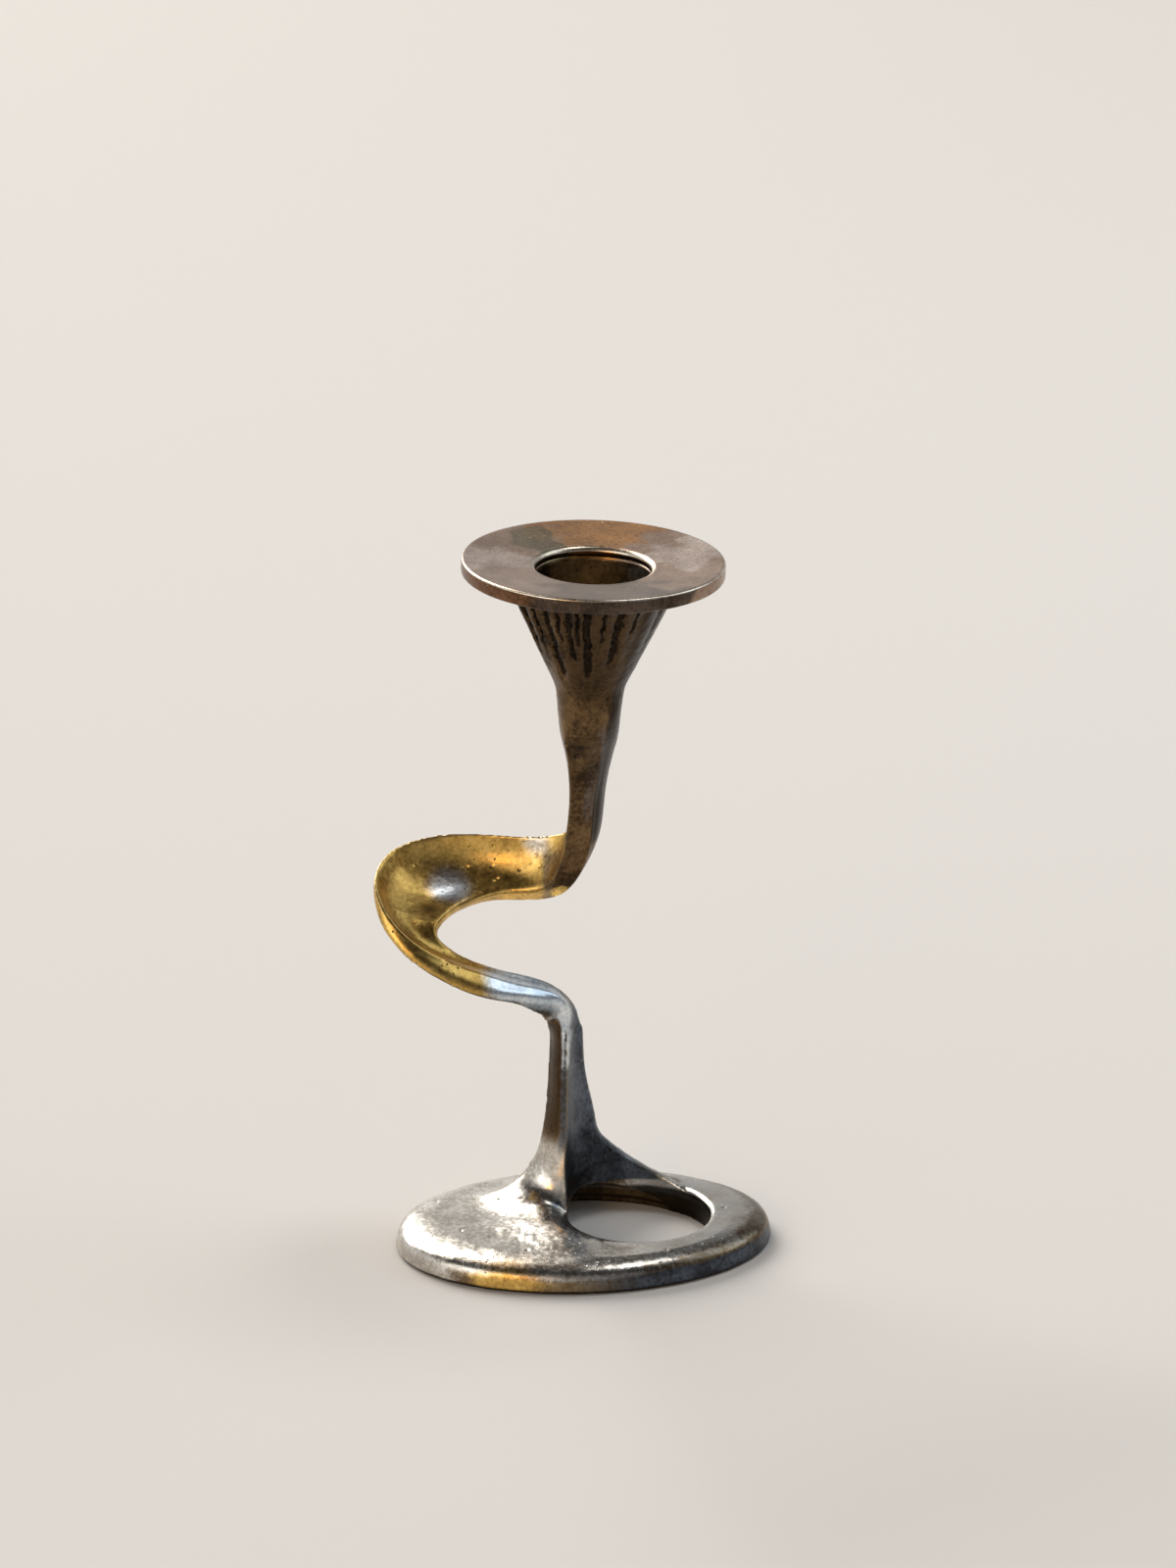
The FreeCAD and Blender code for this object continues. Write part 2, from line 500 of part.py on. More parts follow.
# The foot: the lower stem, whose inner face carries on from the hole's wall
below_joint = joint_box("below_stem_joint", "0", STEM_JOINT)
lower_stem = combine("Common", "lower_stem", ribbon, below_joint)
wall = doc.addObject("Part::Cylinder", "hole_wall")
bind(wall, Radius="sizes.hole_radius", Height="sizes.lip_height")
place(wall, "sizes.plate_x + sizes.hole_x", "sizes.hole_y", "0")
flanked_stem = combine("Cut", "flanked_stem", lower_stem, wall)
whole_foot = combine("Fuse", "whole_foot", plate, flanked_stem)
recess = doc.addObject("Part::Ellipsoid", "recess")
bind(recess, Radius1="sizes.recess_height")
bind(recess, Radius2="sizes.recess_length / 2", Radius3="sizes.recess_width / 2")
place(recess, "sizes.plate_x + sizes.recess_x", "sizes.recess_y", "0")
hollow_foot = combine("Cut", "hollow_foot", whole_foot, recess)
foot = combine("Cut", "foot", hollow_foot, stem_pin_hole)

# The loop, between the joint in the stem and the joint at the elbow
up_to_braze = joint_box("up_to_braze", "0", STEM_JOINT + " + sizes.braze_gap")
elbow_side = past_elbow("elbow_side", ELBOW_JOINT)
long_arm = combine("Cut", "long_arm", ribbon, up_to_braze)
loop_blank = combine("Cut", "loop_blank", long_arm, elbow_side)
loop_bored = combine("Cut", "loop_bored", loop_blank, stem_pin_hole)
spiral_loop = combine("Cut", "spiral_loop", loop_bored, elbow_pin_hole)

# The upper stem, between the elbow and the neck
above_elbow = past_elbow("above_elbow", ELBOW_JOINT + " + sizes.braze_gap")
upper_blank = combine("Common", "upper_blank", ribbon, above_elbow)
upper_bored = combine("Cut", "upper_bored", upper_blank, elbow_pin_hole)
upper_stem = combine("Cut", "upper_stem", upper_bored, neck_pin_hole)

# The fluted cup, turned on its own axis with its neck at the bottom
cup_casting = doc.addObject("PartDesign::Body", "cup_casting")
cup_profile = new_sketch(cup_casting, "cup_profile", "XZ_Plane")
draw_outline(cup_profile, [
    ("0", "0"),
    ("sizes.neck_radius", "0"),
    ("sizes.neck_radius", "sizes.neck_height"),
    ("sizes.cup_mouth_radius", "sizes.cup_height"),
    ("sizes.bore_radius", "sizes.cup_height"),
    ("sizes.bore_radius", "sizes.cup_height - sizes.bore_depth"),
    ("sizes.seat_radius", "sizes.cup_height - sizes.seat_depth"),
    ("0", "sizes.cup_height - sizes.seat_depth"),
])
cup_turned = revolve(cup_casting, "cup_turned", cup_profile)
cup_smooth = round_edges(cup_casting, "cup_neck_round", cup_turned, "sizes.neck_round",
                         ring_edge(size("sizes.neck_radius"), size("sizes.neck_height")))
flute_out = "sizes.cup_mouth_radius + sizes.flute_radius"
flute_top = Vector(size(flute_out + " - sizes.flute_depth"), 0, size("sizes.cup_height"))
flute_foot = Vector(size(flute_out + " - sizes.flute_run * " + FLARE_SLOPE), 0,
                    size("sizes.cup_height - sizes.flute_run"))
flute_way = (flute_top - flute_foot).normalize()
flute = cup_casting.newObject("PartDesign::SubtractiveCylinder", "flute")
bind(flute, Radius="sizes.flute_radius")
flute.Height = (flute_top - flute_foot).Length + 2 * size("sizes.overrun")
flute.Placement = FreeCAD.Placement(flute_foot - flute_way * size("sizes.overrun"),
                                    FreeCAD.Rotation(Vector(0, 0, 1), flute_way))
doc.recompute()
flutes = cup_casting.newObject("PartDesign::PolarPattern", "flutes")
flutes.Originals = [flute]
flutes.Axis = (origin_feature(cup_casting, "Z_Axis"), [""])
flutes.Angle = 360
bind(flutes, Occurrences="sizes.flute_count")
cup_casting.Tip = flutes
cup_turn = FreeCAD.Rotation(Vector(0, 0, 1), size("sizes.flute_turn"))
cup_casting.Placement = below_lip(NECK_DEPTH) * FreeCAD.Placement(Vector(0, 0, 0), cup_turn)
candle_cup = combine("Cut", "candle_cup", cup_casting, neck_pin_hole)

# The drip pan, turned with a dished top, and the ring of braze under it
drip_pan = doc.addObject("PartDesign::Body", "drip_pan")
drip_pan.Label = "drip_pan"
pan_profile = new_sketch(drip_pan, "pan_profile", "XZ_Plane")
draw_outline(pan_profile, [
    ("sizes.bore_radius", "0"),
    ("sizes.pan_radius", "0"),
    ("sizes.pan_radius", "sizes.pan_thickness"),
    ("sizes.bore_radius + sizes.lip_width", PAN_FLOOR),
    ("sizes.bore_radius", PAN_FLOOR),
])
pan_turned = revolve(drip_pan, "pan_turned", pan_profile)
pan_rimmed = round_edges(
    drip_pan, "pan_rim_round", pan_turned, "sizes.pan_edge_round",
    lambda edge: any(ring_edge(size("sizes.pan_radius"), height)(edge)
                     for height in (0, size("sizes.pan_thickness"))))
round_edges(drip_pan, "pan_lip_round", pan_rimmed, "sizes.lip_round",
            ring_edge(size("sizes.bore_radius"), size(PAN_FLOOR)))
drip_pan.Placement = below_lip(PAN_FLOOR)

pan_braze = doc.addObject("PartDesign::Body", "pan_braze")
pan_braze.Label = "pan_braze"
braze_profile = new_sketch(pan_braze, "pan_braze_profile", "XZ_Plane")
draw_outline(braze_profile, [
    ("sizes.bore_radius", "0"),
    ("sizes.bore_radius + sizes.pan_braze_width", "0"),
    ("sizes.bore_radius + sizes.pan_braze_width", "sizes.braze_gap"),
    ("sizes.bore_radius", "sizes.braze_gap"),
])
revolve(pan_braze, "pan_braze_ring", braze_profile)
pan_braze.Placement = below_lip(CUP_TOP_DEPTH)

doc.recompute()
PIECES = [
    foot, stem_pin, stem_braze, spiral_loop, elbow_pin, elbow_braze,
    upper_stem, neck_pin, neck_braze, candle_cup, pan_braze, drip_pan,
]
for thing in doc.Objects:
    if "Invalid" in thing.State or "Error" in thing.State:
        raise RuntimeError("failed to build: " + thing.Label)
for piece in PIECES:
    if piece.Shape.isNull() or not piece.Shape.isValid() or len(piece.Shape.Solids) != 1:
        raise RuntimeError("not one sound solid: " + piece.Label)
os.makedirs("parts", exist_ok=True)
for piece in PIECES:
    piece.Shape.exportStep(os.path.join("parts", piece.Label + ".step"))
    print(piece.Label, "volume", round(piece.Shape.Volume, 1))
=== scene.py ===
import math

import bmesh
import bpy
from mathutils import Matrix, Vector, noise


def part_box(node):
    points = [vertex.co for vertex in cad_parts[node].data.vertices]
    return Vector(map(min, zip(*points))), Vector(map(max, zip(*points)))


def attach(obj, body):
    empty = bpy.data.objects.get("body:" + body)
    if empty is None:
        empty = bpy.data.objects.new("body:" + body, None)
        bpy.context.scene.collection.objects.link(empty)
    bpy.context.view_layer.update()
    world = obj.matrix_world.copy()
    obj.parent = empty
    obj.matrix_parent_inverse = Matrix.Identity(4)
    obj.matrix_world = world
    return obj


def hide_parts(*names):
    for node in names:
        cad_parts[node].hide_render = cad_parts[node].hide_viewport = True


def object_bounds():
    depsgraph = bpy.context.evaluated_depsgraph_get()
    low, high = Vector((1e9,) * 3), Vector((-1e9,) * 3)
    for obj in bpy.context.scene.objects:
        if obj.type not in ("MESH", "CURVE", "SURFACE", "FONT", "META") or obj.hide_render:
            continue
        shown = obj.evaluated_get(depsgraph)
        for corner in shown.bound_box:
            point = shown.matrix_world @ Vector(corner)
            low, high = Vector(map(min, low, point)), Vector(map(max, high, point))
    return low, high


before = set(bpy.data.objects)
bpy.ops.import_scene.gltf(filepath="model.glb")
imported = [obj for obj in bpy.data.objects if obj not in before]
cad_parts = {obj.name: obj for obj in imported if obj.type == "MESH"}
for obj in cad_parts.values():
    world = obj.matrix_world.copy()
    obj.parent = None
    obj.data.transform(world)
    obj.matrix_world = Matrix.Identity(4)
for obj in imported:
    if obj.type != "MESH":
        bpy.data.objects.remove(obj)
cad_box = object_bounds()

# The castings
# The foot, the spiral loop, the upper stem and the fluted cup are bronze, cast in sand, filed by
# hand and brazed to each other over small pins. Filing ran across the joints, so they are shaped
# here as one casting and then parted where the braze is.
MM = 0.001
CAST_NODES = ["foot", "stem_braze", "spiral_loop", "elbow_braze", "upper_stem", "neck_braze",
              "candle_cup"]
GRAIN = 0.31 * MM


def smooth(low, high, value):
    """0 at low and before it, 1 at high and past it, and a soft change between them. Where low is
    the greater of the two, it falls as the value grows."""
    share = min(max((value - low) / (high - low), 0), 1)
    return share * share * (3 - 2 * share)


def hump(place, middle, reach):
    """1 at the middle, falling to 0 at the reach."""
    return 1 - smooth(0, reach, (place - middle).length)


def merged(*names):
    """One mesh of the CAD nodes' triangles, with their doubled points merged."""
    shape = bmesh.new()
    for name in names:
        shape.from_mesh(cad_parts[name].data)
    bmesh.ops.remove_doubles(shape, verts=shape.verts, dist=0.002 * MM)
    return shape


def as_object(name, shape):
    """A smooth-shaded object of the shape, at the origin."""
    mesh = bpy.data.meshes.new(name)
    shape.to_mesh(mesh)
    shape.free()
    mesh.shade_smooth()
    thing = bpy.data.objects.new(name, mesh)
    bpy.context.scene.collection.objects.link(thing)
    return thing


def relax(shape, points, times, factor=0.9):
    """Evens out the given points of the shape."""
    for _ in range(times):
        bmesh.ops.smooth_vert(shape, verts=points, factor=factor,
                              use_axis_x=True, use_axis_y=True, use_axis_z=True)


blank = as_object("casting", merged(*CAST_NODES))
grains = blank.modifiers.new("grains", "REMESH")
grains.mode = "VOXEL"
grains.voxel_size = GRAIN
bpy.context.view_layer.update()
grained = blank.evaluated_get(bpy.context.evaluated_depsgraph_get())
casting = bmesh.new()
casting.from_mesh(bpy.data.meshes.new_from_object(grained))
bpy.data.objects.remove(blank)
# Each pass evens the grain out and the next one gives thin rims their width back
for _ in range(5):
    relax(casting, casting.verts, times=1, factor=0.5)
    relax(casting, casting.verts, times=1, factor=-0.47)

HOLE_MIDDLE = Vector((12.7, 1.4, 0)) * MM
HOLE_RADIUS = 14.0 * MM
HOLE_EDGE = 0.7 * MM


def from_hole(place):
    """How far a place is from the axis of the foot's hole."""
    return math.hypot(place.x - HOLE_MIDDLE.x, place.y - HOLE_MIDDLE.y)


# The root of the stem runs into the foot in one soft sweep, but the hole's edge stays crisp. The
# zones lie inside each other, so that no step is left where the smoothing ends
ROOT_MIDDLE = Vector((-1.0, 7.0, 8.0)) * MM
ROOT_REACH = 20.0 * MM
ROOT_LOW = 4.2 * MM
for share in (1, 0.87, 0.74, 0.61):
    root = [v for v in casting.verts
            if v.co.z > ROOT_LOW and (v.co - ROOT_MIDDLE).length < share * ROOT_REACH
            and from_hole(v.co) > HOLE_RADIUS + HOLE_EDGE]
    relax(casting, root, times=7)

# In front the metal spreads like a fan over the foot, and the skirt of it is filed soft
FAN_MIDDLE = Vector((0.0, -3.5, 0)) * MM
FAN_REACH = 19.0 * MM
FAN_RISE = 2.2 * MM
FAN_LOW = 4.6 * MM
FAN_HIGH = 12.0 * MM
SKIRT_REACH = 27.0 * MM
SKIRT_HIGH = 13.0 * MM
SKIRT_RIGHT = 6.0 * MM
for v in casting.verts:
    if FAN_LOW < v.co.z < FAN_HIGH:
        away = math.hypot(v.co.x - FAN_MIDDLE.x, v.co.y - FAN_MIDDLE.y)
        rise = smooth(FAN_REACH, 0, away) * smooth(0.3, 4.0, (from_hole(v.co) - HOLE_RADIUS) / MM)
        rise *= smooth(FAN_LOW, FAN_LOW + 1 * MM, v.co.z) * smooth(FAN_HIGH, FAN_HIGH / 2, v.co.z)
        v.co.z += FAN_RISE * rise
skirt = [v for v in casting.verts
         if FAN_LOW < v.co.z < SKIRT_HIGH and (v.co - ROOT_MIDDLE).length < SKIRT_REACH
         and from_hole(v.co) > HOLE_RADIUS + 2 * HOLE_EDGE and v.co.x < SKIRT_RIGHT]
relax(casting, skirt, times=125)

# The foot's outer edge is a soft roll, and its underside stays flat. The roll starts four fifths of
# the way out from the foot's middle
ROLL_START = 0.80
ROLL_DROP = 0.10
ROLL_HIGH = 6.6 * MM
FLAT_BELOW = 1.0 * MM
foot_low, foot_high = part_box("foot")
foot_middle = (foot_low + foot_high) / 2
foot_half = (foot_high - foot_low) / 2
roll = []
for v in casting.verts:
    across = (v.co.x - foot_middle.x) / foot_half.x
    along = (v.co.y - foot_middle.y) / foot_half.y
    out = math.hypot(across, along)
    if v.co.z < ROLL_HIGH and out > ROLL_START:
        v.co.z *= 1 - ROLL_DROP * smooth(ROLL_START, 1, out)
        if v.co.z > FLAT_BELOW:
            roll.append(v)
relax(casting, roll, times=110)

# The cup and the pan lean a little to the right. The lip is the pan's, over the middle of the bore,
# and the cup narrows with its depth below it
LIP = Vector((3.8, 1.0, 139.3)) * MM
LEAN = math.radians(1.5)
CUP_AXIS = Vector((math.sin(LEAN), 0, math.cos(LEAN)))
CUP_TOP_DEPTH = 2.0 * MM
CUP_TAPER = 0.3
BORE_RADIUS = 11.0 * MM


def along_cup(place):
    """A place on the cup: its depth below the lip, its distance from the axis, and its angle."""
    arm = place - LIP
    depth = -arm.dot(CUP_AXIS)
    arm = arm + CUP_AXIS * depth
    return depth, arm.length, math.atan2(arm.y, arm.x)


# The cup's cone flows into the upper stem, and filing has left only traces of its even flutes
NECK_HEIGHT = 113 * MM
for reach in (9.0, 7.8, 6.6, 5.4):
    neck = [v for v in casting.verts if abs(v.co.z - NECK_HEIGHT) < reach * MM]
    relax(casting, neck, times=14)
# The arm in front is filed round where it turns down into the stem
TURN_DOWN_LOW = 43 * MM
TURN_DOWN_HIGH = 61 * MM
turn_down = [v for v in casting.verts if TURN_DOWN_LOW < v.co.z < TURN_DOWN_HIGH]
relax(casting, turn_down, times=5)
# The cup's outside is filed from just below its mouth to just above its neck
FILED_FROM = CUP_TOP_DEPTH + 0.6 * MM
FILED_TO = 22 * MM
filed = []
for v in casting.verts:
    depth, radius, turn = along_cup(v.co)
    if FILED_FROM < depth < FILED_TO and radius > BORE_RADIUS + 1.2 * MM - depth * CUP_TAPER:
        filed.append(v)
relax(casting, filed, times=12)

# Each point of the casting remembers how sharply it stands out, before the surface is roughened
casting.normal_update()
worn = casting.verts.layers.float.new("worn")
for v in casting.verts:
    bend = sum((e.other_vert(v).co - v.co).normalized().dot(v.normal) for e in v.link_edges)
    v[worn] = -bend / max(len(v.link_edges), 1)
for _ in range(3):
    evened = []
    for v in casting.verts:
        around = sum(e.other_vert(v)[worn] for e in v.link_edges)
        evened.append(around / max(len(v.link_edges), 1))
    for v, value in zip(casting.verts, evened):
        v[worn] = (v[worn] + value) / 2

# Blowholes and nicks of the casting: where, how wide and how deep, in millimetres
PITS = [
    ((1.1, -0.2, 100.7), 0.75, 0.40), ((2.4, 5.4, 88.0), 0.50, 0.25),
    ((3.3, 6.3, 84.9), 0.45, 0.25), ((1.3, 5.9, 83.0), 0.45, 0.22),
    ((-1.5, -1.9, 104.3), 0.60, 0.25), ((-0.4, -4.5, 114.8), 0.50, 0.30),
    ((-2.2, -5.1, 118.6), 0.50, 0.25), ((6.5, -4.6, 114.5), 0.60, 0.30),
    ((5.9, -6.0, 116.9), 0.50, 0.30), ((3.7, -6.4, 116.9), 0.55, 0.32),
    ((1.8, -6.5, 117.3), 0.50, 0.30), ((4.9, -5.4, 113.2), 0.50, 0.30),
    ((-31.0, 14.6, 73.6), 0.45, 0.25), ((-30.3, 15.1, 73.8), 0.40, 0.22),
    ((-20.9, 16.5, 72.3), 0.50, 0.28), ((-16.0, 16.4, 72.5), 0.45, 0.25),
    ((-10.6, 15.1, 72.4), 0.45, 0.25), ((-15.0, 14.6, 70.5), 0.65, 0.35),
    ((-7.3, 15.0, 75.3), 0.40, 0.22), ((-6.6, 13.7, 73.6), 0.45, 0.25),
    ((-8.4, 14.9, 73.9), 0.40, 0.22), ((-14.8, 4.4, 6.9), 0.55, 0.25),
    ((-22.0, -8.0, 5.8), 0.60, 0.22), ((-9.0, -17.5, 5.8), 0.55, 0.22),
    ((18.0, -17.0, 5.8), 0.50, 0.20), ((29.5, 3.0, 5.8), 0.55, 0.22),
    ((-27.0, 6.0, 5.8), 0.50, 0.20),
]
PITS = [(Vector(middle) * MM, reach * MM, depth) for middle, reach, depth in PITS]


WALL_END = 31 * MM


def on_cup_wall(place, facing):
    """1 on the cup's outside, 0 in its bore and away from it, fading out past the neck."""
    depth, radius, turn = along_cup(place)
    if not 0 < depth < WALL_END or facing.dot(place - LIP + CUP_AXIS * depth) < 0:
        return 0
    past_bore = radius + depth * CUP_TAPER - BORE_RADIUS
    return smooth(1, 2, past_bore / MM) * smooth(WALL_END, WALL_END - 5 * MM, depth)


# The ragged grooves left in the cup's wall, mostly on its left and front: the angle round the cup
# in degrees, half the width and the length in millimetres
GROOVE_DEPTH = 0.7
GROOVES = [
    (-126, 0.75, 19.0), (-109, 0.60, 15.0), (-94, 0.75, 18.5), (-69, 0.70, 15.5),
    (-139, 0.50, 13.0), (-153, 0.65, 14.0), (-166, 0.60, 11.5), (-82, 0.40, 10.5),
    (-57, 0.40, 9.0), (-102, 0.35, 12.0), (-179, 0.65, 10.0), (171, 0.75, 12.5),
    (158, 0.55, 9.0), (143, 0.80, 15.0), (128, 0.55, 8.0), (112, 0.65, 11.5),
    (95, 0.50, 7.5), (-117, 0.35, 11.0),
]


def fluting(place, facing):
    """How deep in one of the cup's ragged grooves a place is, from 0 to 1."""
    wall = on_cup_wall(place, facing)
    if wall == 0:
        return 0
    depth, radius, turn = along_cup(place)
    stray = 0.45 * noise.noise(place / (1.1 * MM))
    stray += 0.5 * noise.noise(place / (4 * MM) + Vector((3.3, 0, 0)))
    ragged = 1.0 + 0.6 * noise.noise(place / (1.5 * MM) + Vector((0, 5.1, 0)))
    deepest = 0
    for angle, half, length in GROOVES:
        away = (math.degrees(turn) - angle + 180) % 360 - 180
        if abs(away) < 12:
            across = abs(math.radians(away) * radius / MM + stray)
            run = smooth(length + 3.5, length - 2.5, depth / MM) * smooth(2.0, 2.6, depth / MM)
            deepest = max(deepest, smooth(half * 1.3, half * 0.4, across) * run)
    return min(wall * deepest * ragged, 1)


def cast_relief(place, facing):
    """How far the cast and filed surface lies out from the plain shape, in millimetres."""
    # The file's slow waves, the dents and the skin's grain, each with its length and its height
    out = noise.noise(place / (7 * MM)) * 0.07 + noise.noise(place / (2.6 * MM)) * 0.03
    out += noise.noise(place / (1.1 * MM) + Vector((0, 9.3, 0))) * 0.018
    # The top of the foot is hammered, and crumpled where the stem's root spreads over it
    top = smooth(0.5, 0.9, facing.z) * smooth(18 * MM, 9 * MM, place.z)
    top *= smooth(4.2 * MM, 5.4 * MM, place.z)
    if top > 0:
        hammered = noise.turbulence(place / (4.5 * MM), 2, False) - 0.5
        crumple = noise.noise(place / (1.2 * MM) + Vector((4.1, 0, 0)))
        heart = hump(place, Vector((-6, -9, 6)) * MM, 20 * MM)
        beaten = (0.05 + 0.07 * heart) * hammered + (0.008 + 0.045 * heart) * crumple
        out += top * (beaten - 0.4 * out)
    wall = on_cup_wall(place, facing)
    if wall > 0:
        rough = noise.noise(place / (0.9 * MM)) * 0.05 + noise.noise(place / (2.2 * MM)) * 0.07
        out += wall * rough
        out -= GROOVE_DEPTH * fluting(place, facing)
    return out


# Sharp edges keep their line, and no point leaves the solids' box
low, high = cad_box
moves = []
for v in casting.verts:
    crisp = smooth(0.05, 0.16, abs(v[worn]))
    out = cast_relief(v.co, v.normal) * (1 - 0.75 * crisp)
    moves.append([v, v.normal * out * MM])
for middle, reach, depth in PITS:
    for move in moves:
        v = move[0]
        if abs(v.co.z - middle.z) < reach and (v.co - middle).length < reach:
            move[1] -= v.normal * depth * hump(v.co, middle, reach) * MM
for v, move in moves:
    v.co += move
    v.co = Vector(min(max(c, a), b) for c, a, b in zip(v.co, low, high))
casting.normal_update()

# What the finish follows: the tones painted on the bronze, golden, pale and so on. Most of them are
# painted reflections, highlights and shade; the brown of the cup and upper stem, the braze and the
# dark pits are the bronze's own
FINISHES = ["gold_and_warm_sheen", "pale", "brown", "steel", "silver", "brazed", "soot_and_shade"]
# Painted blue-white highlights on the facet over the turn-down and on a spot in the loop: where and
# how wide, in millimetres
SILVER_HIGHLIGHTS = [
    ((-12.5, -0.8, 54.6), 8.5), ((-7.5, 0.8, 52.0), 9.5), ((-4.8, 1.8, 49.0), 9.0),
    ((-3.4, 2.4, 45.6), 7.5), ((-2.6, 2.6, 41.5), 6.0), ((-2.4, 2.6, 37.5), 4.0),
    ((-24.3, 13.2, 69.4), 6.5),
]
SILVER_HIGHLIGHTS = [(Vector(middle) * MM, reach * MM) for middle, reach in SILVER_HIGHLIGHTS]


def shares_of_finish(place, facing):
    """How golden, pale, brown, steely, silvery, brazed and sooty the bronze is painted at a place,
    most of it as painted reflection, highlight and shade. x, y and z are in millimetres, and a
    facing of 1 looks straight along an axis."""
    x, y, z = place / MM
    depth, radius, turn = along_cup(place)
    past_hole = (from_hole(place) - HOLE_RADIUS) / MM

    # Golden: the loop's band and arm, partly their own brassy tone and partly painted warm
    # reflection; a painted sheen on the upper stem's left side; and a painted warm glint on the
    # foot's edge
    band = smooth(62, 66, z) * smooth(84, 78, z) * smooth(-4.6, -8.5, x)
    arm = smooth(-12, -24, x) * smooth(47, 53, z) * smooth(67, 63, z)
    left_side_sheen = 0.55 * smooth(-0.1, -0.6, facing.x) * smooth(74, 80, z) * smooth(116, 98, z)
    glint = 0.9 * hump(place, Vector((-13, -24, 3.5)) * MM, 12 * MM)
    gold_and_warm_sheen = max(band, arm, left_side_sheen, glint)

    # Pale: painted highlights on the foot's top, most of all on the left and on the hammered patch,
    # on the stem's root, on the foot's left rim and the hole's right rim, and at the band's corner
    # at the elbow
    top_sheen = smooth(0.1, 0.5, facing.z) * smooth(24, 12, z) * (0.15 + 0.65 * smooth(22, 4, x))
    root_face = smooth(0.35, -0.05, facing.x) * smooth(24, 13, z) * smooth(3, 5, z)
    rim_left = smooth(5.0, 3.0, z) * smooth(-16, -30, x) * 0.8
    corner = 0.7 * hump(place, Vector((-8.0, 14, 78)) * MM, 5.0 * MM)
    hammered = 0.85 * smooth(0.1, 0.5, facing.z) * hump(place, Vector((-6, -7, 6)) * MM, 16 * MM)
    lip = 0.8 * smooth(3.0, 0.6, past_hole) * smooth(8, 14, x) * smooth(4.5, 5.4, z)
    pale = max(top_sheen, root_face, rim_left, corner, hammered, lip) * (1 - 0.8 * glint)

    # Brown: the cup and the upper stem down to its fold, in their own dark patina, and painted
    # shade on the lower stem's left face and on undersides
    cup_and_stem = smooth(79.5, 83, z)
    left_face = smooth(-0.2, -0.6, facing.x) * smooth(15, 24, z) * smooth(49, 43, z)
    under = 0.8 * smooth(0.1, -0.5, facing.z) * smooth(40, 45, z) * smooth(66, 62, z)
    fold = -4.2 + 0.25 * (z - 70)
    folded = smooth(fold - 0.6, fold + 0.6, x) * smooth(64, 66, z)
    brown = max(cup_and_stem, left_face, under, folded)

    # Steel blue: painted cool reflection and shade on the lower stem's right flank and front strip,
    # behind the foot's hole, on the right of the foot's top and on its edge, and in a stripe down
    # the upper stem
    flank = smooth(0.12, 0.45, facing.x) * smooth(5, 8, z) * smooth(52, 44, z) * smooth(-9, -4, x)
    behind = 0.9 * smooth(0, 3, x) * smooth(20, 15, x) * smooth(3, 6, y)
    behind *= smooth(5.9, 6.8, z) * smooth(24, 20, z)
    strip = 0.7 * smooth(-0.80, -0.95, facing.y) * smooth(14, 20, z) * smooth(50, 44, z)
    right_rim = 0.9 * smooth(0.7, 0.2, facing.z) * smooth(6.6, 4.4, z)
    right_rim *= smooth(-14, 22, x) * smooth(8, -2, y)
    stripe = 0.40 * smooth(0.10, 0.30, facing.x) * smooth(0.70, 0.50, facing.x) * smooth(82, 88, z)
    shaded = 0.3 * smooth(0.4, 0.8, facing.x) * smooth(78, 84, z) * smooth(-5, -2, x)
    right_top_shade = 0.45 * smooth(2, 20, x) * smooth(0.4, 0.8, facing.z) * smooth(9, 6, z)
    steel = max(flank, behind, strip, right_rim, right_top_shade, (stripe + shaded) * smooth(112, 106, z))

    # Silver: painted blue-white highlights on the facet and on the spot in the loop, where they
    # face up and to the front
    open_side = smooth(-0.80, -0.35, facing.z) * smooth(-0.55, -0.15, facing.x)
    open_side *= smooth(0.75, 0.35, facing.y)
    highlit = max(hump(place, middle, reach) for middle, reach in SILVER_HIGHLIGHTS)
    silver = open_side * min(1.15 * highlit, 1)

    # Bright braze under the elbow
    brazed = hump(place, Vector((-1.6, 10.5, 68.5)) * MM, 5.2 * MM) * smooth(74, 71, z)

    # Soot and painted shade: darkened grooves in the cup, and painted shade in the crease in the
    # loop, on the right and front of the cup, on the right of the upper stem, on the lower stem's
    # left face, on the wall of the foot's hole and on the underside
    soot_and_shade = smooth(0.15, 0.6, fluting(place, facing))
    soot_and_shade = max(soot_and_shade, 0.6 * hump(place, Vector((-28, 7, 66.5)) * MM, 4.5 * MM))
    soot_and_shade = max(soot_and_shade, 0.7 * smooth(110, 118, z) * smooth(-1.4, -0.6, turn) * smooth(2.4, 1.6, turn))
    soot_and_shade = max(soot_and_shade, 0.45 * smooth(108, 116, z) * smooth(-2.4, -1.9, turn) * smooth(0, -0.8, turn))
    soot_and_shade = max(soot_and_shade, 0.65 * smooth(0.35, 0.70, facing.x) * smooth(78, 82, z), 0.5 * left_face)
    well = smooth(0.5, -0.1, past_hole) * smooth(6, 4.6, z)
    soot_and_shade = max(soot_and_shade, 0.8 * well, 0.8 * smooth(0, 0.4, -facing.z) * smooth(2.5, 1.2, z))
    # The bore of the cup, round an axis at about (3.6, 1.0), is only a little brown
    if z > 108 and facing.dot(Vector((x - 3.6, y - 1.0, 0))) < 0:
        brown, soot_and_shade = 0.25, 0
    return gold_and_warm_sheen, pale, brown, steel, silver, brazed, soot_and_shade


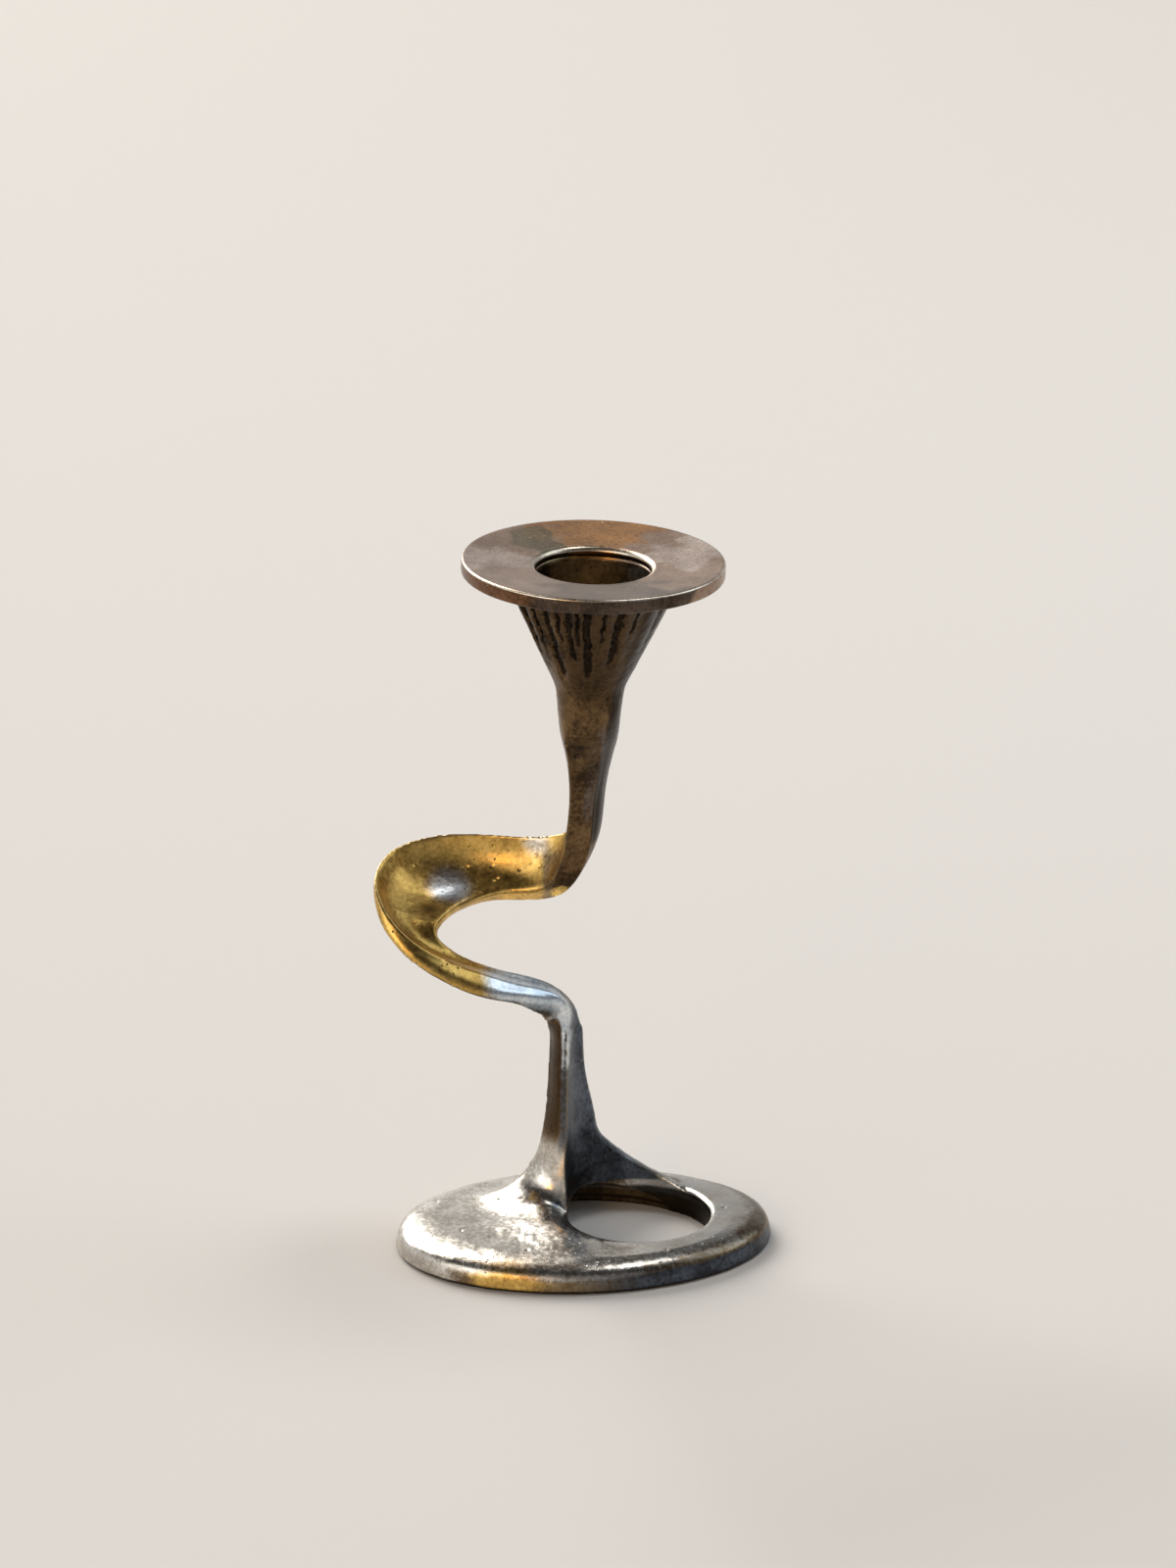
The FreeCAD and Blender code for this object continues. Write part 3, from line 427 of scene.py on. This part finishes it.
layers = [casting.verts.layers.float.new(name) for name in FINISHES]
soot_and_shade_layer = layers[FINISHES.index("soot_and_shade")]
for v in casting.verts:
    for layer, share in zip(layers, shares_of_finish(v.co, v.normal)):
        v[layer] = share
    for middle, reach, depth in PITS:
        if abs(v.co.z - middle.z) < reach:
            v[soot_and_shade_layer] = max(v[soot_and_shade_layer], hump(v.co, middle, reach * 0.9))


def parted(name, keep):
    """A copy of the casting between planes: each is a point on it, its direction and the least
    height of what it cuts away on its far side."""
    shape = casting.copy()
    for point, facing, floor in keep:
        part = [v for v in shape.verts if v.co.z > floor]
        inside = set(part)
        edges = [e for e in shape.edges if all(v in inside for v in e.verts)]
        faces = [f for f in shape.faces if all(v in inside for v in f.verts)]
        bmesh.ops.bisect_plane(shape, geom=part + edges + faces, dist=0.0001 * MM,
                               plane_co=point, plane_no=facing, clear_outer=True)
        rim = [e for e in shape.edges if e.is_boundary]
        for e in rim:
            e.smooth = False
        bmesh.ops.holes_fill(shape, edges=rim, sides=0)
    bmesh.ops.triangulate(shape, faces=[f for f in shape.faces if len(f.verts) > 4])
    return as_object(name, shape)


def drop_below(thing, height):
    """Deletes the separate parts of a piece that lie wholly below a height."""
    shape = bmesh.new()
    shape.from_mesh(thing.data)
    left = set(shape.verts)
    while left:
        island, front = set(), [next(iter(left))]
        while front:
            v = front.pop()
            if v in left:
                left.discard(v)
                island.add(v)
                front.extend(e.other_vert(v) for e in v.link_edges)
        if max(v.co.z for v in island) < height:
            bmesh.ops.delete(shape, geom=list(island), context="VERTS")
    shape.to_mesh(thing.data)
    shape.free()


# The joints: a level one in the lower stem, an upright one at the elbow, and one across the neck
UP, DOWN = Vector((0, 0, 1)), Vector((0, 0, -1))
RIGHT, LEFT = Vector((1, 0, 0)), Vector((-1, 0, 0))
stem_low, stem_high = (Vector((0, 0, corner.z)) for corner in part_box("stem_braze"))
elbow_low, elbow_high = (Vector((corner.x, 0, 0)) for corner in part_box("elbow_braze"))
CUP_FOOT_DEPTH = 25.5 * MM
NECK_BRAZE_DEPTH = 25.8 * MM
neck_high = LIP - CUP_AXIS * CUP_FOOT_DEPTH
neck_low = LIP - CUP_AXIS * NECK_BRAZE_DEPTH
# The height of the gap between the loop's two arms: an upright cut goes no lower
ARMS_GAP = 59.7 * MM

foot = parted("cast_foot", [(stem_low, UP, 0)])
stem_braze = parted("stem_braze_film", [(stem_high, UP, 0), (stem_low, DOWN, 0)])
spiral_loop = parted("cast_spiral_loop", [(stem_high, DOWN, 0), (elbow_low, RIGHT, ARMS_GAP)])
elbow_braze = parted("elbow_braze_film", [(elbow_low, LEFT, 0), (elbow_high, RIGHT, 0)])
upper_stem = parted("cast_upper_stem", [(elbow_high, LEFT, 0), (neck_low, CUP_AXIS, 0)])
neck_braze = parted("neck_braze_film", [(neck_low, -CUP_AXIS, 0), (neck_high, CUP_AXIS, 0)])
candle_cup = parted("cast_candle_cup", [(neck_high, -CUP_AXIS, 0)])
for thing in (elbow_braze, upper_stem):
    drop_below(thing, ARMS_GAP + 2 * MM)
casting.free()


def linear(code):
    """A colour written as in a paint program, as the linear values that the shader takes."""
    shares = [int(code[n:n + 2], 16) / 255 for n in (1, 3, 5)]
    return [s / 12.92 if s <= 0.04045 else ((s + 0.055) / 1.055) ** 2.4 for s in shares] + [1]


def add(tree, kind, values=(), links=(), **settings):
    """Adds a node with its settings, the values of its inputs and the links into them."""
    made = tree.nodes.new("ShaderNode" + kind)
    for name, value in settings.items():
        setattr(made, name, value)
    for name, value in dict(values).items():
        made.inputs[name].default_value = value
    for name, source in dict(links).items():
        tree.links.new(source, made.inputs[name])
    return made


def every(size):
    """The scale of a pattern that repeats about every so many millimetres."""
    return 1 / (size * MM)


def metal(name, roughness):
    """An empty metal material: its tree, its shader and the object's own coordinates."""
    made = bpy.data.materials.new(name)
    made.use_nodes = True
    tree = made.node_tree
    shader = tree.nodes["Principled BSDF"]
    shader.inputs["Metallic"].default_value = 1
    shader.inputs["Roughness"].default_value = roughness
    return made, tree, shader, add(tree, "TexCoord").outputs["Object"]


def layered_tones(tree, cloud, speck, tones):
    """The finishes of a piece, laid over each other in two tones each. Each finish covers the
    places whose points hold a share of its name, and its edge frays with the clouds and specks.
    Nearly all of a noise lies between 0.34 and 0.66, so the tones do too."""
    drift = add(tree, "Math", {1: 0.5}, {0: cloud}, operation="SUBTRACT")
    stray = add(tree, "Math", {1: 0.5}, {0: speck}, operation="SUBTRACT").outputs[0]
    fray = add(tree, "Math", {1: 0.8}, {0: stray, 2: drift.outputs[0]}, operation="MULTIPLY_ADD")
    mottle = add(tree, "Math", {1: 0.9}, {0: stray, 2: cloud}, operation="MULTIPLY_ADD")
    tint = None
    for layer, low, high, most, first, second in tones:
        tone = add(tree, "ValToRGB", {}, {"Fac": mottle.outputs[0]})
        stops = tone.color_ramp.elements
        stops[0].position, stops[0].color = 0.34, linear(first)
        stops[1].position, stops[1].color = 0.66, linear(second)
        if tint is None:
            tint = tone.outputs["Color"]
            continue
        kept = add(tree, "Attribute", attribute_name=layer)
        moved = add(tree, "Math", {1: 0.5}, {0: fray.outputs[0], 2: kept.outputs["Fac"]},
                    operation="MULTIPLY_ADD")
        amount = add(tree, "MapRange", {"From Min": low, "From Max": high, "To Max": most},
                     {"Value": moved.outputs[0]}, interpolation_type="SMOOTHSTEP")
        tint = add(tree, "Mix", {}, {0: amount.outputs[0], 6: tint, 7: tone.outputs["Color"]},
                   data_type="RGBA").outputs[2]
    return tint


# Each finish: its share's range, how much it covers, and its two tones. Apart from the bare bronze
# and the braze, they are for the most part painted reflections, highlights and shade
CAST_TONES = [
    ("bare", 0, 1, 1.0, "#66533d", "#93805f"),
    ("gold_and_warm_sheen", 0.05, 0.60, 0.95, "#a98545", "#e0b966"),
    ("pale", 0.08, 0.65, 0.94, "#aea79c", "#dcd8d1"),
    ("brown", 0.10, 0.85, 0.95, "#3b2d1f", "#735a3d"),
    ("steel", 0.15, 0.85, 0.90, "#272e38", "#4d5a69"),
    ("silver", 0.05, 0.90, 0.95, "#b8c4ce", "#eff4f7"),
    ("brazed", 0.35, 0.60, 1.0, "#a8823a", "#f0cf78"),
    ("soot_and_shade", 0.20, 0.75, 0.95, "#0e0b08", "#261d14"),
]


def cast_bronze(name, roughness, grit):
    """Cast bronze with a handled patina and with painted reflections, highlights and shade. Its
    finishes follow the shares that each point of the casting remembers, its worn edges are pale,
    and its hollows and pores hold dirt."""
    made, tree, shader, place = metal(name, roughness)
    # Stains drift over about six millimetres. The sand leaves grains of about a third of a
    # millimetre, which are drawn about twice as coarse
    cloud = add(tree, "TexNoise", {"Scale": every(6), "Detail": 5, "Roughness": 0.65},
                {"Vector": place}).outputs["Fac"]
    speck = add(tree, "TexNoise", {"Scale": every(0.8), "Detail": 4, "Roughness": 0.7},
                {"Vector": place}).outputs["Fac"]
    tint = layered_tones(tree, cloud, speck, CAST_TONES)

    edge = add(tree, "Attribute", attribute_name="worn").outputs["Fac"]
    rubbed = add(tree, "MapRange", {"From Min": 0.06, "From Max": 0.22, "To Max": 0.5},
                 {"Value": edge})
    tint = add(tree, "Mix", {7: linear("#d2c39c")}, {0: rubbed.outputs[0], 6: tint},
               data_type="RGBA").outputs[2]
    hollow = add(tree, "MapRange", {"From Min": -0.05, "From Max": -0.16, "To Max": 0.6},
                 {"Value": edge})
    tint = add(tree, "Mix", {7: linear("#241c13")}, {0: hollow.outputs[0], 6: tint},
               data_type="RGBA").outputs[2]
    # Pores about a third of a millimetre wide and a good millimetre apart, in swarms
    pore = add(tree, "TexVoronoi", {"Scale": every(1.3), "Randomness": 1}, {"Vector": place})
    pore_edge = add(tree, "MapRange", {"From Min": 0.05, "From Max": 0.2},
                    {"Value": pore.outputs["Distance"]})
    spared = add(tree, "Math", {1: 0.56 - 0.08 * grit}, {0: cloud}, operation="LESS_THAN")
    level = add(tree, "Math", {}, {0: pore_edge.outputs[0], 1: spared.outputs[0]},
                operation="MAXIMUM")
    sunken = add(tree, "MapRange", {"From Min": 1, "From Max": 0, "To Max": 0.85},
                 {"Value": level.outputs[0]})
    tint = add(tree, "Mix", {7: linear("#1d1712")}, {0: sunken.outputs[0], 6: tint},
               data_type="RGBA").outputs[2]
    tree.links.new(tint, shader.inputs["Base Color"])

    # Pale places, which are mostly painted highlights, are made less rough
    pale_share = add(tree, "Attribute", attribute_name="pale").outputs["Fac"]
    buffed = add(tree, "MapRange", {"To Min": roughness, "To Max": roughness - 0.10},
                 {"Value": pale_share})
    stray = add(tree, "Math", {1: 0.5}, {0: speck}, operation="SUBTRACT")
    grain = add(tree, "Math", {1: 0.30}, {0: stray.outputs[0], 2: buffed.outputs[0]},
                operation="MULTIPLY_ADD")
    tree.links.new(grain.outputs[0], shader.inputs["Roughness"])

    # File strokes are about a tenth of a millimetre apart, and are drawn about four times as coarse
    stroke = add(tree, "Mapping", {"Rotation": (0.5, 0.3, 0.9), "Scale": (1, 9, 9)},
                 {"Vector": place})
    lines = add(tree, "TexNoise", {"Scale": every(4), "Detail": 3, "Roughness": 0.7},
                {"Vector": stroke.outputs[0]})
    fine = add(tree, "Bump", {"Strength": 0.5 + 0.4 * grit, "Distance": 0.05 * MM},
               {"Height": speck})
    filed = add(tree, "Bump", {"Strength": 0.35, "Distance": 0.05 * MM},
                {"Height": lines.outputs["Fac"], "Normal": fine.outputs[0]})
    sunk = add(tree, "Bump", {"Strength": 0.8, "Distance": 0.15 * MM},
               {"Height": level.outputs[0], "Normal": filed.outputs[0]})
    tree.links.new(sunk.outputs[0], shader.inputs["Normal"])
    return made


# Filed and handled for years: a satin metal with soft highlights, in brown, gold and grey, much of
# which is painted reflection and shade
handled_bronze = cast_bronze("handled cast bronze", roughness=0.32, grit=0.0)
# As it came from the sand: duller, gritty and full of pores, which swallow the light
rough_bronze = cast_bronze("rough cast bronze", roughness=0.38, grit=1.0)
# Run in hot and filed flush: a yellow seam that is a little coarser than the bronze
brass_braze = cast_bronze("filed brazing brass", roughness=0.32, grit=0.5)

# The seams in the stem and the neck have darkened like the bronze round them, and the elbow's is
# still yellow
for piece, node, slot, finish in (
    (foot, "foot", "bronze", handled_bronze),
    (stem_braze, "stem_braze", "braze", handled_bronze),
    (spiral_loop, "spiral_loop", "bronze", handled_bronze),
    (elbow_braze, "elbow_braze", "braze", brass_braze),
    (upper_stem, "upper_stem", "bronze", handled_bronze),
    (neck_braze, "neck_braze", "braze", rough_bronze),
    (candle_cup, "candle_cup", "cup_bronze", rough_bronze),
):
    piece.data.materials.append(finish)
    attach(piece, "root")
    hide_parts(node)

# The pins
# Drawn steel wire, cut to length and pushed into drilled holes before the joints are brazed. They
# lie wholly inside the stem, the elbow and the neck.
# Grey steel with a dull gleam and fine lines along it, from the die
steel, tree, shader, place = metal("drawn steel wire", roughness=0.3)
shader.inputs["Base Color"].default_value = linear("#8f9194")
# The die's lines are finer than a tenth of a millimetre, and are drawn a quarter apart
drawn = add(tree, "Mapping", {"Scale": (12, 12, 1)}, {"Vector": place})
die_lines = add(tree, "TexNoise", {"Scale": every(3)}, {"Vector": drawn.outputs[0]})
bump = add(tree, "Bump", {"Strength": 0.3, "Distance": 0.01 * MM},
           {"Height": die_lines.outputs["Fac"]})
tree.links.new(bump.outputs[0], shader.inputs["Normal"])
for name in ("stem_pin", "elbow_pin", "neck_pin"):
    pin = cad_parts[name]
    pin.data.materials.clear()
    pin.data.materials.append(steel)

# The drip pan and its braze
# A bronze disc turned on a lathe: flat below, gently dished above, with a rounded lip round the
# candle hole and a soft rim. It lies on the cup's mouth in a ring of braze, which fills the corner
# in the bore.
PAN_RADIUS = 25.0 * MM
PAN_HEIGHT = 2.89 * MM
PAN_FLOOR = 1.7 * MM
LIP_WIDTH = 1.5 * MM
RIM_ROUND = 0.5 * MM
LIP_ROUND = 1.1 * MM
BRAZE_RADIUS = 15.0 * MM
BRAZE_THICK = 0.3 * MM
LATHE_STEPS = 256
on_cup = Matrix.Translation(LIP - CUP_AXIS * PAN_FLOOR) @ Matrix.Rotation(LEAN, 4, "Y")


def outlined(points):
    """A closed outline through points given as distances from the lathe's axis and heights."""
    shape = bmesh.new()
    corners = [shape.verts.new((radius, 0, height)) for radius, height in points]
    for start, end in zip(corners, corners[1:] + corners[:1]):
        shape.edges.new((start, end))
    return shape


def turned_piece(name, shape):
    """The object that an outline makes when it is turned once round, laid on the cup."""
    bmesh.ops.spin(shape, geom=shape.verts[:] + shape.edges[:], axis=(0, 0, 1), cent=(0, 0, 0),
                   angle=math.tau, steps=LATHE_STEPS, use_merge=True)
    bmesh.ops.remove_doubles(shape, verts=shape.verts, dist=0.001 * MM)
    bmesh.ops.recalc_face_normals(shape, faces=shape.faces)
    bmesh.ops.transform(shape, matrix=on_cup, verts=shape.verts)
    shape.normal_update()
    for layer, share in pan_shares.items():
        kept = shape.verts.layers.float.new(layer)
        for v in shape.verts:
            v[kept] = share(v)
    return as_object(name, shape)


def wedge(v, middle, half):
    """1 in a wedge of the pan round an angle in degrees, falling to 0 at its half width. Its sides
    stray by up to 22 degrees."""
    away = (math.degrees(along_cup(v.co)[2]) - middle + 180) % 360 - 180
    return smooth(half, half * 0.3, abs(away) + 22 * noise.noise(v.co / (5 * MM)))


def on_side(v):
    """1 on the rim's upright side, 0 on the dish."""
    return smooth(0.55, 0.2, v.normal.z) * smooth(20 * MM, 22 * MM, along_cup(v.co)[1])


def in_bore(v):
    """1 on the bore's wall."""
    near = smooth(BORE_RADIUS + 0.7 * MM, BORE_RADIUS + 0.1 * MM, along_cup(v.co)[1])
    return near * smooth(0.6, 0.2, v.normal.z)


def on_lip(v):
    """1 on the turned-over edges of the dish, 0 on its flat and lower down."""
    return (smooth(0.15, 0.35, v.normal.z) * smooth(0.98, 0.85, v.normal.z)
            * smooth(1.5, 0.9, along_cup(v.co)[0] / MM))


# Painted reflections, highlights and shade on the pan, by the angle round it: 0 is on the right.
# They stand in for the bright and dark sectors that the turned rings reflect, and give a painted
# highlight on the rubbed lip; the bore is darkened with soot and shade
pan_shares = {
    "warm_reflection": lambda v: wedge(v, 88, 48) * (1 - on_side(v)),
    "olive": lambda v: (wedge(v, 132, 24) * (1 - on_side(v))
                        * smooth(25, 21, along_cup(v.co)[1] / MM)),
    "pale": lambda v: max(wedge(v, 20, 34), 0.6 * wedge(v, 178, 30)) * (1 - on_side(v)),
    "dim": lambda v: wedge(v, -80, 58) * (1 - on_side(v)),
    "rim_warm_reflection": lambda v: on_side(v) * max(wedge(v, 205, 70), 0.5 * wedge(v, 90, 60)),
    "shade": lambda v: on_side(v) * wedge(v, -78, 48),
    "soot_and_shade": lambda v: 0.55 * in_bore(v),
    "rubbed": on_lip,
}

disc = outlined([(BORE_RADIUS, 0), (PAN_RADIUS, 0), (PAN_RADIUS, PAN_HEIGHT),
                 (BORE_RADIUS + LIP_WIDTH, PAN_FLOOR), (BORE_RADIUS, PAN_FLOOR)])
rim_corners = [v for v in disc.verts if v.co.x > PAN_RADIUS - 0.01 * MM]
bmesh.ops.bevel(disc, geom=rim_corners, offset=RIM_ROUND, offset_type="OFFSET",
                affect="VERTICES", segments=6, profile=0.5, material=-1)
lip_place = Vector((BORE_RADIUS, 0, PAN_FLOOR))
lip_corner = min(disc.verts, key=lambda v: (v.co - lip_place).length)
bmesh.ops.bevel(disc, geom=[lip_corner], offset=LIP_ROUND, offset_type="OFFSET",
                affect="VERTICES", segments=10, profile=0.5, material=-1)
dish = [e for e in disc.edges
        if e.calc_length() > 5 * MM and min(v.co.z for v in e.verts) > 1 * MM]
bmesh.ops.subdivide_edges(disc, edges=dish, cuts=24)
drip_pan = turned_piece("turned_drip_pan", disc)

PAN_TONES = [
    ("bare", 0, 1, 1.0, "#7e6553", "#a18875"),
    ("pale", 0.15, 0.85, 0.85, "#98857a", "#c6b6ab"),
    ("warm_reflection", 0.20, 0.80, 0.90, "#875d2e", "#b17c3f"),
    ("olive", 0.20, 0.70, 0.85, "#50462f", "#776a4c"),
    ("dim", 0.15, 0.85, 0.85, "#4c3a29", "#685240"),
    ("rim_warm_reflection", 0.15, 0.80, 0.85, "#422a18", "#734e33"),
    ("shade", 0.15, 0.80, 0.90, "#2b2520", "#4d443c"),
    ("soot_and_shade", 0.20, 0.80, 0.90, "#1a1712", "#4f4737"),
    ("rubbed", 0.20, 0.80, 0.80, "#cdbfa8", "#efe6d8"),
]

# Turned on a lathe and then handled: a satin brown with rings that draw the highlights round it,
# and with painted reflections, highlights and shade in patches
turned, tree, shader, place = metal("turned bronze", roughness=0.28)
centred = add(tree, "VectorMath", {1: LIP}, {0: place}, operation="SUBTRACT").outputs[0]
flat = add(tree, "VectorMath", {1: (1, 1, 0)}, {0: centred}, operation="MULTIPLY")
out = add(tree, "VectorMath", {}, {0: flat.outputs[0]}, operation="LENGTH")
# The painted patches drift over about seven millimetres, and the grit between them is under one
cloud = add(tree, "TexNoise", {"Scale": every(7), "Detail": 6, "Roughness": 0.65},
            {"Vector": place}).outputs["Fac"]
speck = add(tree, "TexNoise", {"Scale": every(0.7), "Detail": 4, "Roughness": 0.7},
            {"Vector": place}).outputs["Fac"]
# The tool's marks are finer than a tenth of a millimetre, and are drawn about four times as coarse
ring = add(tree, "CombineXYZ", {}, {"X": out.outputs["Value"]})
marks = add(tree, "TexNoise", {"Scale": every(0.45), "Detail": 3, "Roughness": 0.6},
            {"Vector": ring.outputs[0]}).outputs["Fac"]
tint = layered_tones(tree, cloud, speck, PAN_TONES)
# Small bright nicks, about a quarter of a millimetre wide
nick = add(tree, "TexVoronoi", {"Scale": every(2.6), "Randomness": 1}, {"Vector": place})
nick_edge = add(tree, "MapRange", {"From Min": 0.03, "From Max": 0.09},
                {"Value": nick.outputs["Distance"]})
bright = add(tree, "MapRange", {"From Min": 0.06, "From Max": 0.03, "To Max": 0.6},
             {"Value": nick.outputs["Distance"]})
tint = add(tree, "Mix", {7: linear("#efe6d8")}, {0: bright.outputs[0], 6: tint},
           data_type="RGBA").outputs[2]
brushed = add(tree, "MapRange", {"From Min": 0.3, "From Max": 0.7, "To Min": 0.86, "To Max": 1.1},
              {"Value": marks})
tint = add(tree, "VectorMath", {}, {0: tint, 1: brushed.outputs[0]},
           operation="MULTIPLY").outputs[0]
tree.links.new(tint, shader.inputs["Base Color"])
grain = add(tree, "Math", {1: 0.24, 2: 0.18}, {0: speck}, operation="MULTIPLY_ADD")
tree.links.new(grain.outputs[0], shader.inputs["Roughness"])
lathe = add(tree, "Bump", {"Strength": 0.6, "Distance": 0.03 * MM}, {"Height": marks})
gritty = add(tree, "Bump", {"Strength": 0.5, "Distance": 0.03 * MM},
             {"Height": speck, "Normal": lathe.outputs[0]})
nicked = add(tree, "Bump", {"Strength": 0.6, "Distance": 0.08 * MM},
             {"Height": nick_edge.outputs[0], "Normal": gritty.outputs[0]})
tree.links.new(nicked.outputs[0], shader.inputs["Normal"])
drip_pan.data.materials.append(turned)
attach(drip_pan, "root")
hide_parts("drip_pan")

bead = outlined([(BORE_RADIUS, 0), (BORE_RADIUS + 0.02 * MM, -0.9 * MM),
                 (BORE_RADIUS + 0.4 * MM, -1.8 * MM), (BORE_RADIUS + 1.2 * MM, -BRAZE_THICK),
                 (BRAZE_RADIUS, -BRAZE_THICK), (BRAZE_RADIUS, 0)])
pan_braze = turned_piece("pan_braze_ring", bead)
pan_braze.data.materials.append(turned)
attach(pan_braze, "root")
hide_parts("pan_braze")

# The table and the light
# A pale sheet of card under the holder. A large window-like lamp stands behind it on the left, a
# small bluish one on the right, a spot of white light above, and in front on the left a white
# reflector and a small warm lamp. The camera stands a metre away and looks down by 20 degrees.
card = bmesh.new()
bmesh.ops.create_grid(card, x_segments=1, y_segments=1, size=4)
table = as_object("table", card)
# Uncoated card: pale, warm and without any gleam
paper = bpy.data.materials.new("pale card")
paper.use_nodes = True
surface = paper.node_tree.nodes["Principled BSDF"]
surface.inputs["Base Color"].default_value = linear("#d9d5d0")
surface.inputs["Roughness"].default_value = 0.9
table.data.materials.append(paper)

HOLDER_MIDDLE = Vector((0, 0, 70)) * MM


def soft_lamp(name, place, size, watts, colour):
    """A square soft lamp that faces the middle of the holder. Its place and its side are in
    metres."""
    lamp = bpy.data.lights.new(name, "AREA")
    lamp.size = size
    lamp.energy = watts
    lamp.color = linear(colour)[:3]
    holder = bpy.data.objects.new(name, lamp)
    holder.location = place
    aim = HOLDER_MIDDLE - Vector(place)
    holder.rotation_euler = aim.to_track_quat("-Z", "Y").to_euler()
    holder.visible_camera = False
    bpy.context.scene.collection.objects.link(holder)


soft_lamp("window", (-2.07, 3.0, 2.6), 3.0, 200, "#fffaf4")
soft_lamp("north window", (1.08, 0.29, 1.00), 0.9, 5.5, "#dfebf5")
soft_lamp("ceiling", (0.43, 0.26, 1.53), 0.4, 4.0, "#ffffff")
soft_lamp("desk lamp", (-0.63, -1.24, 0.56), 0.4, 2.1, "#ffc370")
soft_lamp("reflector", (-1.04, -0.81, 0.50), 0.9, 3.6, "#ffffff")

# The room: pale walls behind and to the left, dusk on the right, and a dark ceiling
sky = bpy.data.worlds.new("studio")
bpy.context.scene.world = sky
sky.use_nodes = True
tree = sky.node_tree
way = add(tree, "TexCoord").outputs["Generated"]
height = add(tree, "SeparateXYZ", {}, {0: way})
side = add(tree, "VectorMath", {1: (-0.95, 0.3, 0)}, {0: way}, operation="DOT_PRODUCT")
bright_side = add(tree, "MapRange", {"From Min": -0.45, "From Max": 0.3},
                  {"Value": side.outputs["Value"]})
walls = []
for low, low_tone, high, high_tone in (
    (0.42, "#e6e4e1", 0.75, "#343436"),
    (0.15, "#9a9a9d", 0.65, "#38383a"),
):
    wall = add(tree, "ValToRGB", {}, {"Fac": height.outputs["Z"]})
    stops = wall.color_ramp.elements
    stops[0].position, stops[0].color = low, linear(low_tone)
    stops[1].position, stops[1].color = high, linear(high_tone)
    walls.append(wall.outputs["Color"])
room = add(tree, "Mix", {}, {0: bright_side.outputs[0], 6: walls[1], 7: walls[0]},
           data_type="RGBA")
tree.links.new(room.outputs[2], tree.nodes["Background"].inputs["Color"])

# The camera's place and lens are fitted to the outlines of the pan and its hole
CAMERA_TILT = 20.05
lens = bpy.data.cameras.new("camera")
lens.lens = 135
lens.sensor_width = 36
lens.sensor_fit = "AUTO"
camera = bpy.data.objects.new("camera", lens)
camera.location = (0.002768, -1.05591, 0.48098)
camera.rotation_euler = (math.radians(90 - CAMERA_TILT), 0, 0)
bpy.context.scene.collection.objects.link(camera)
bpy.context.scene.camera = camera
bpy.context.scene.view_settings.view_transform = "Standard"
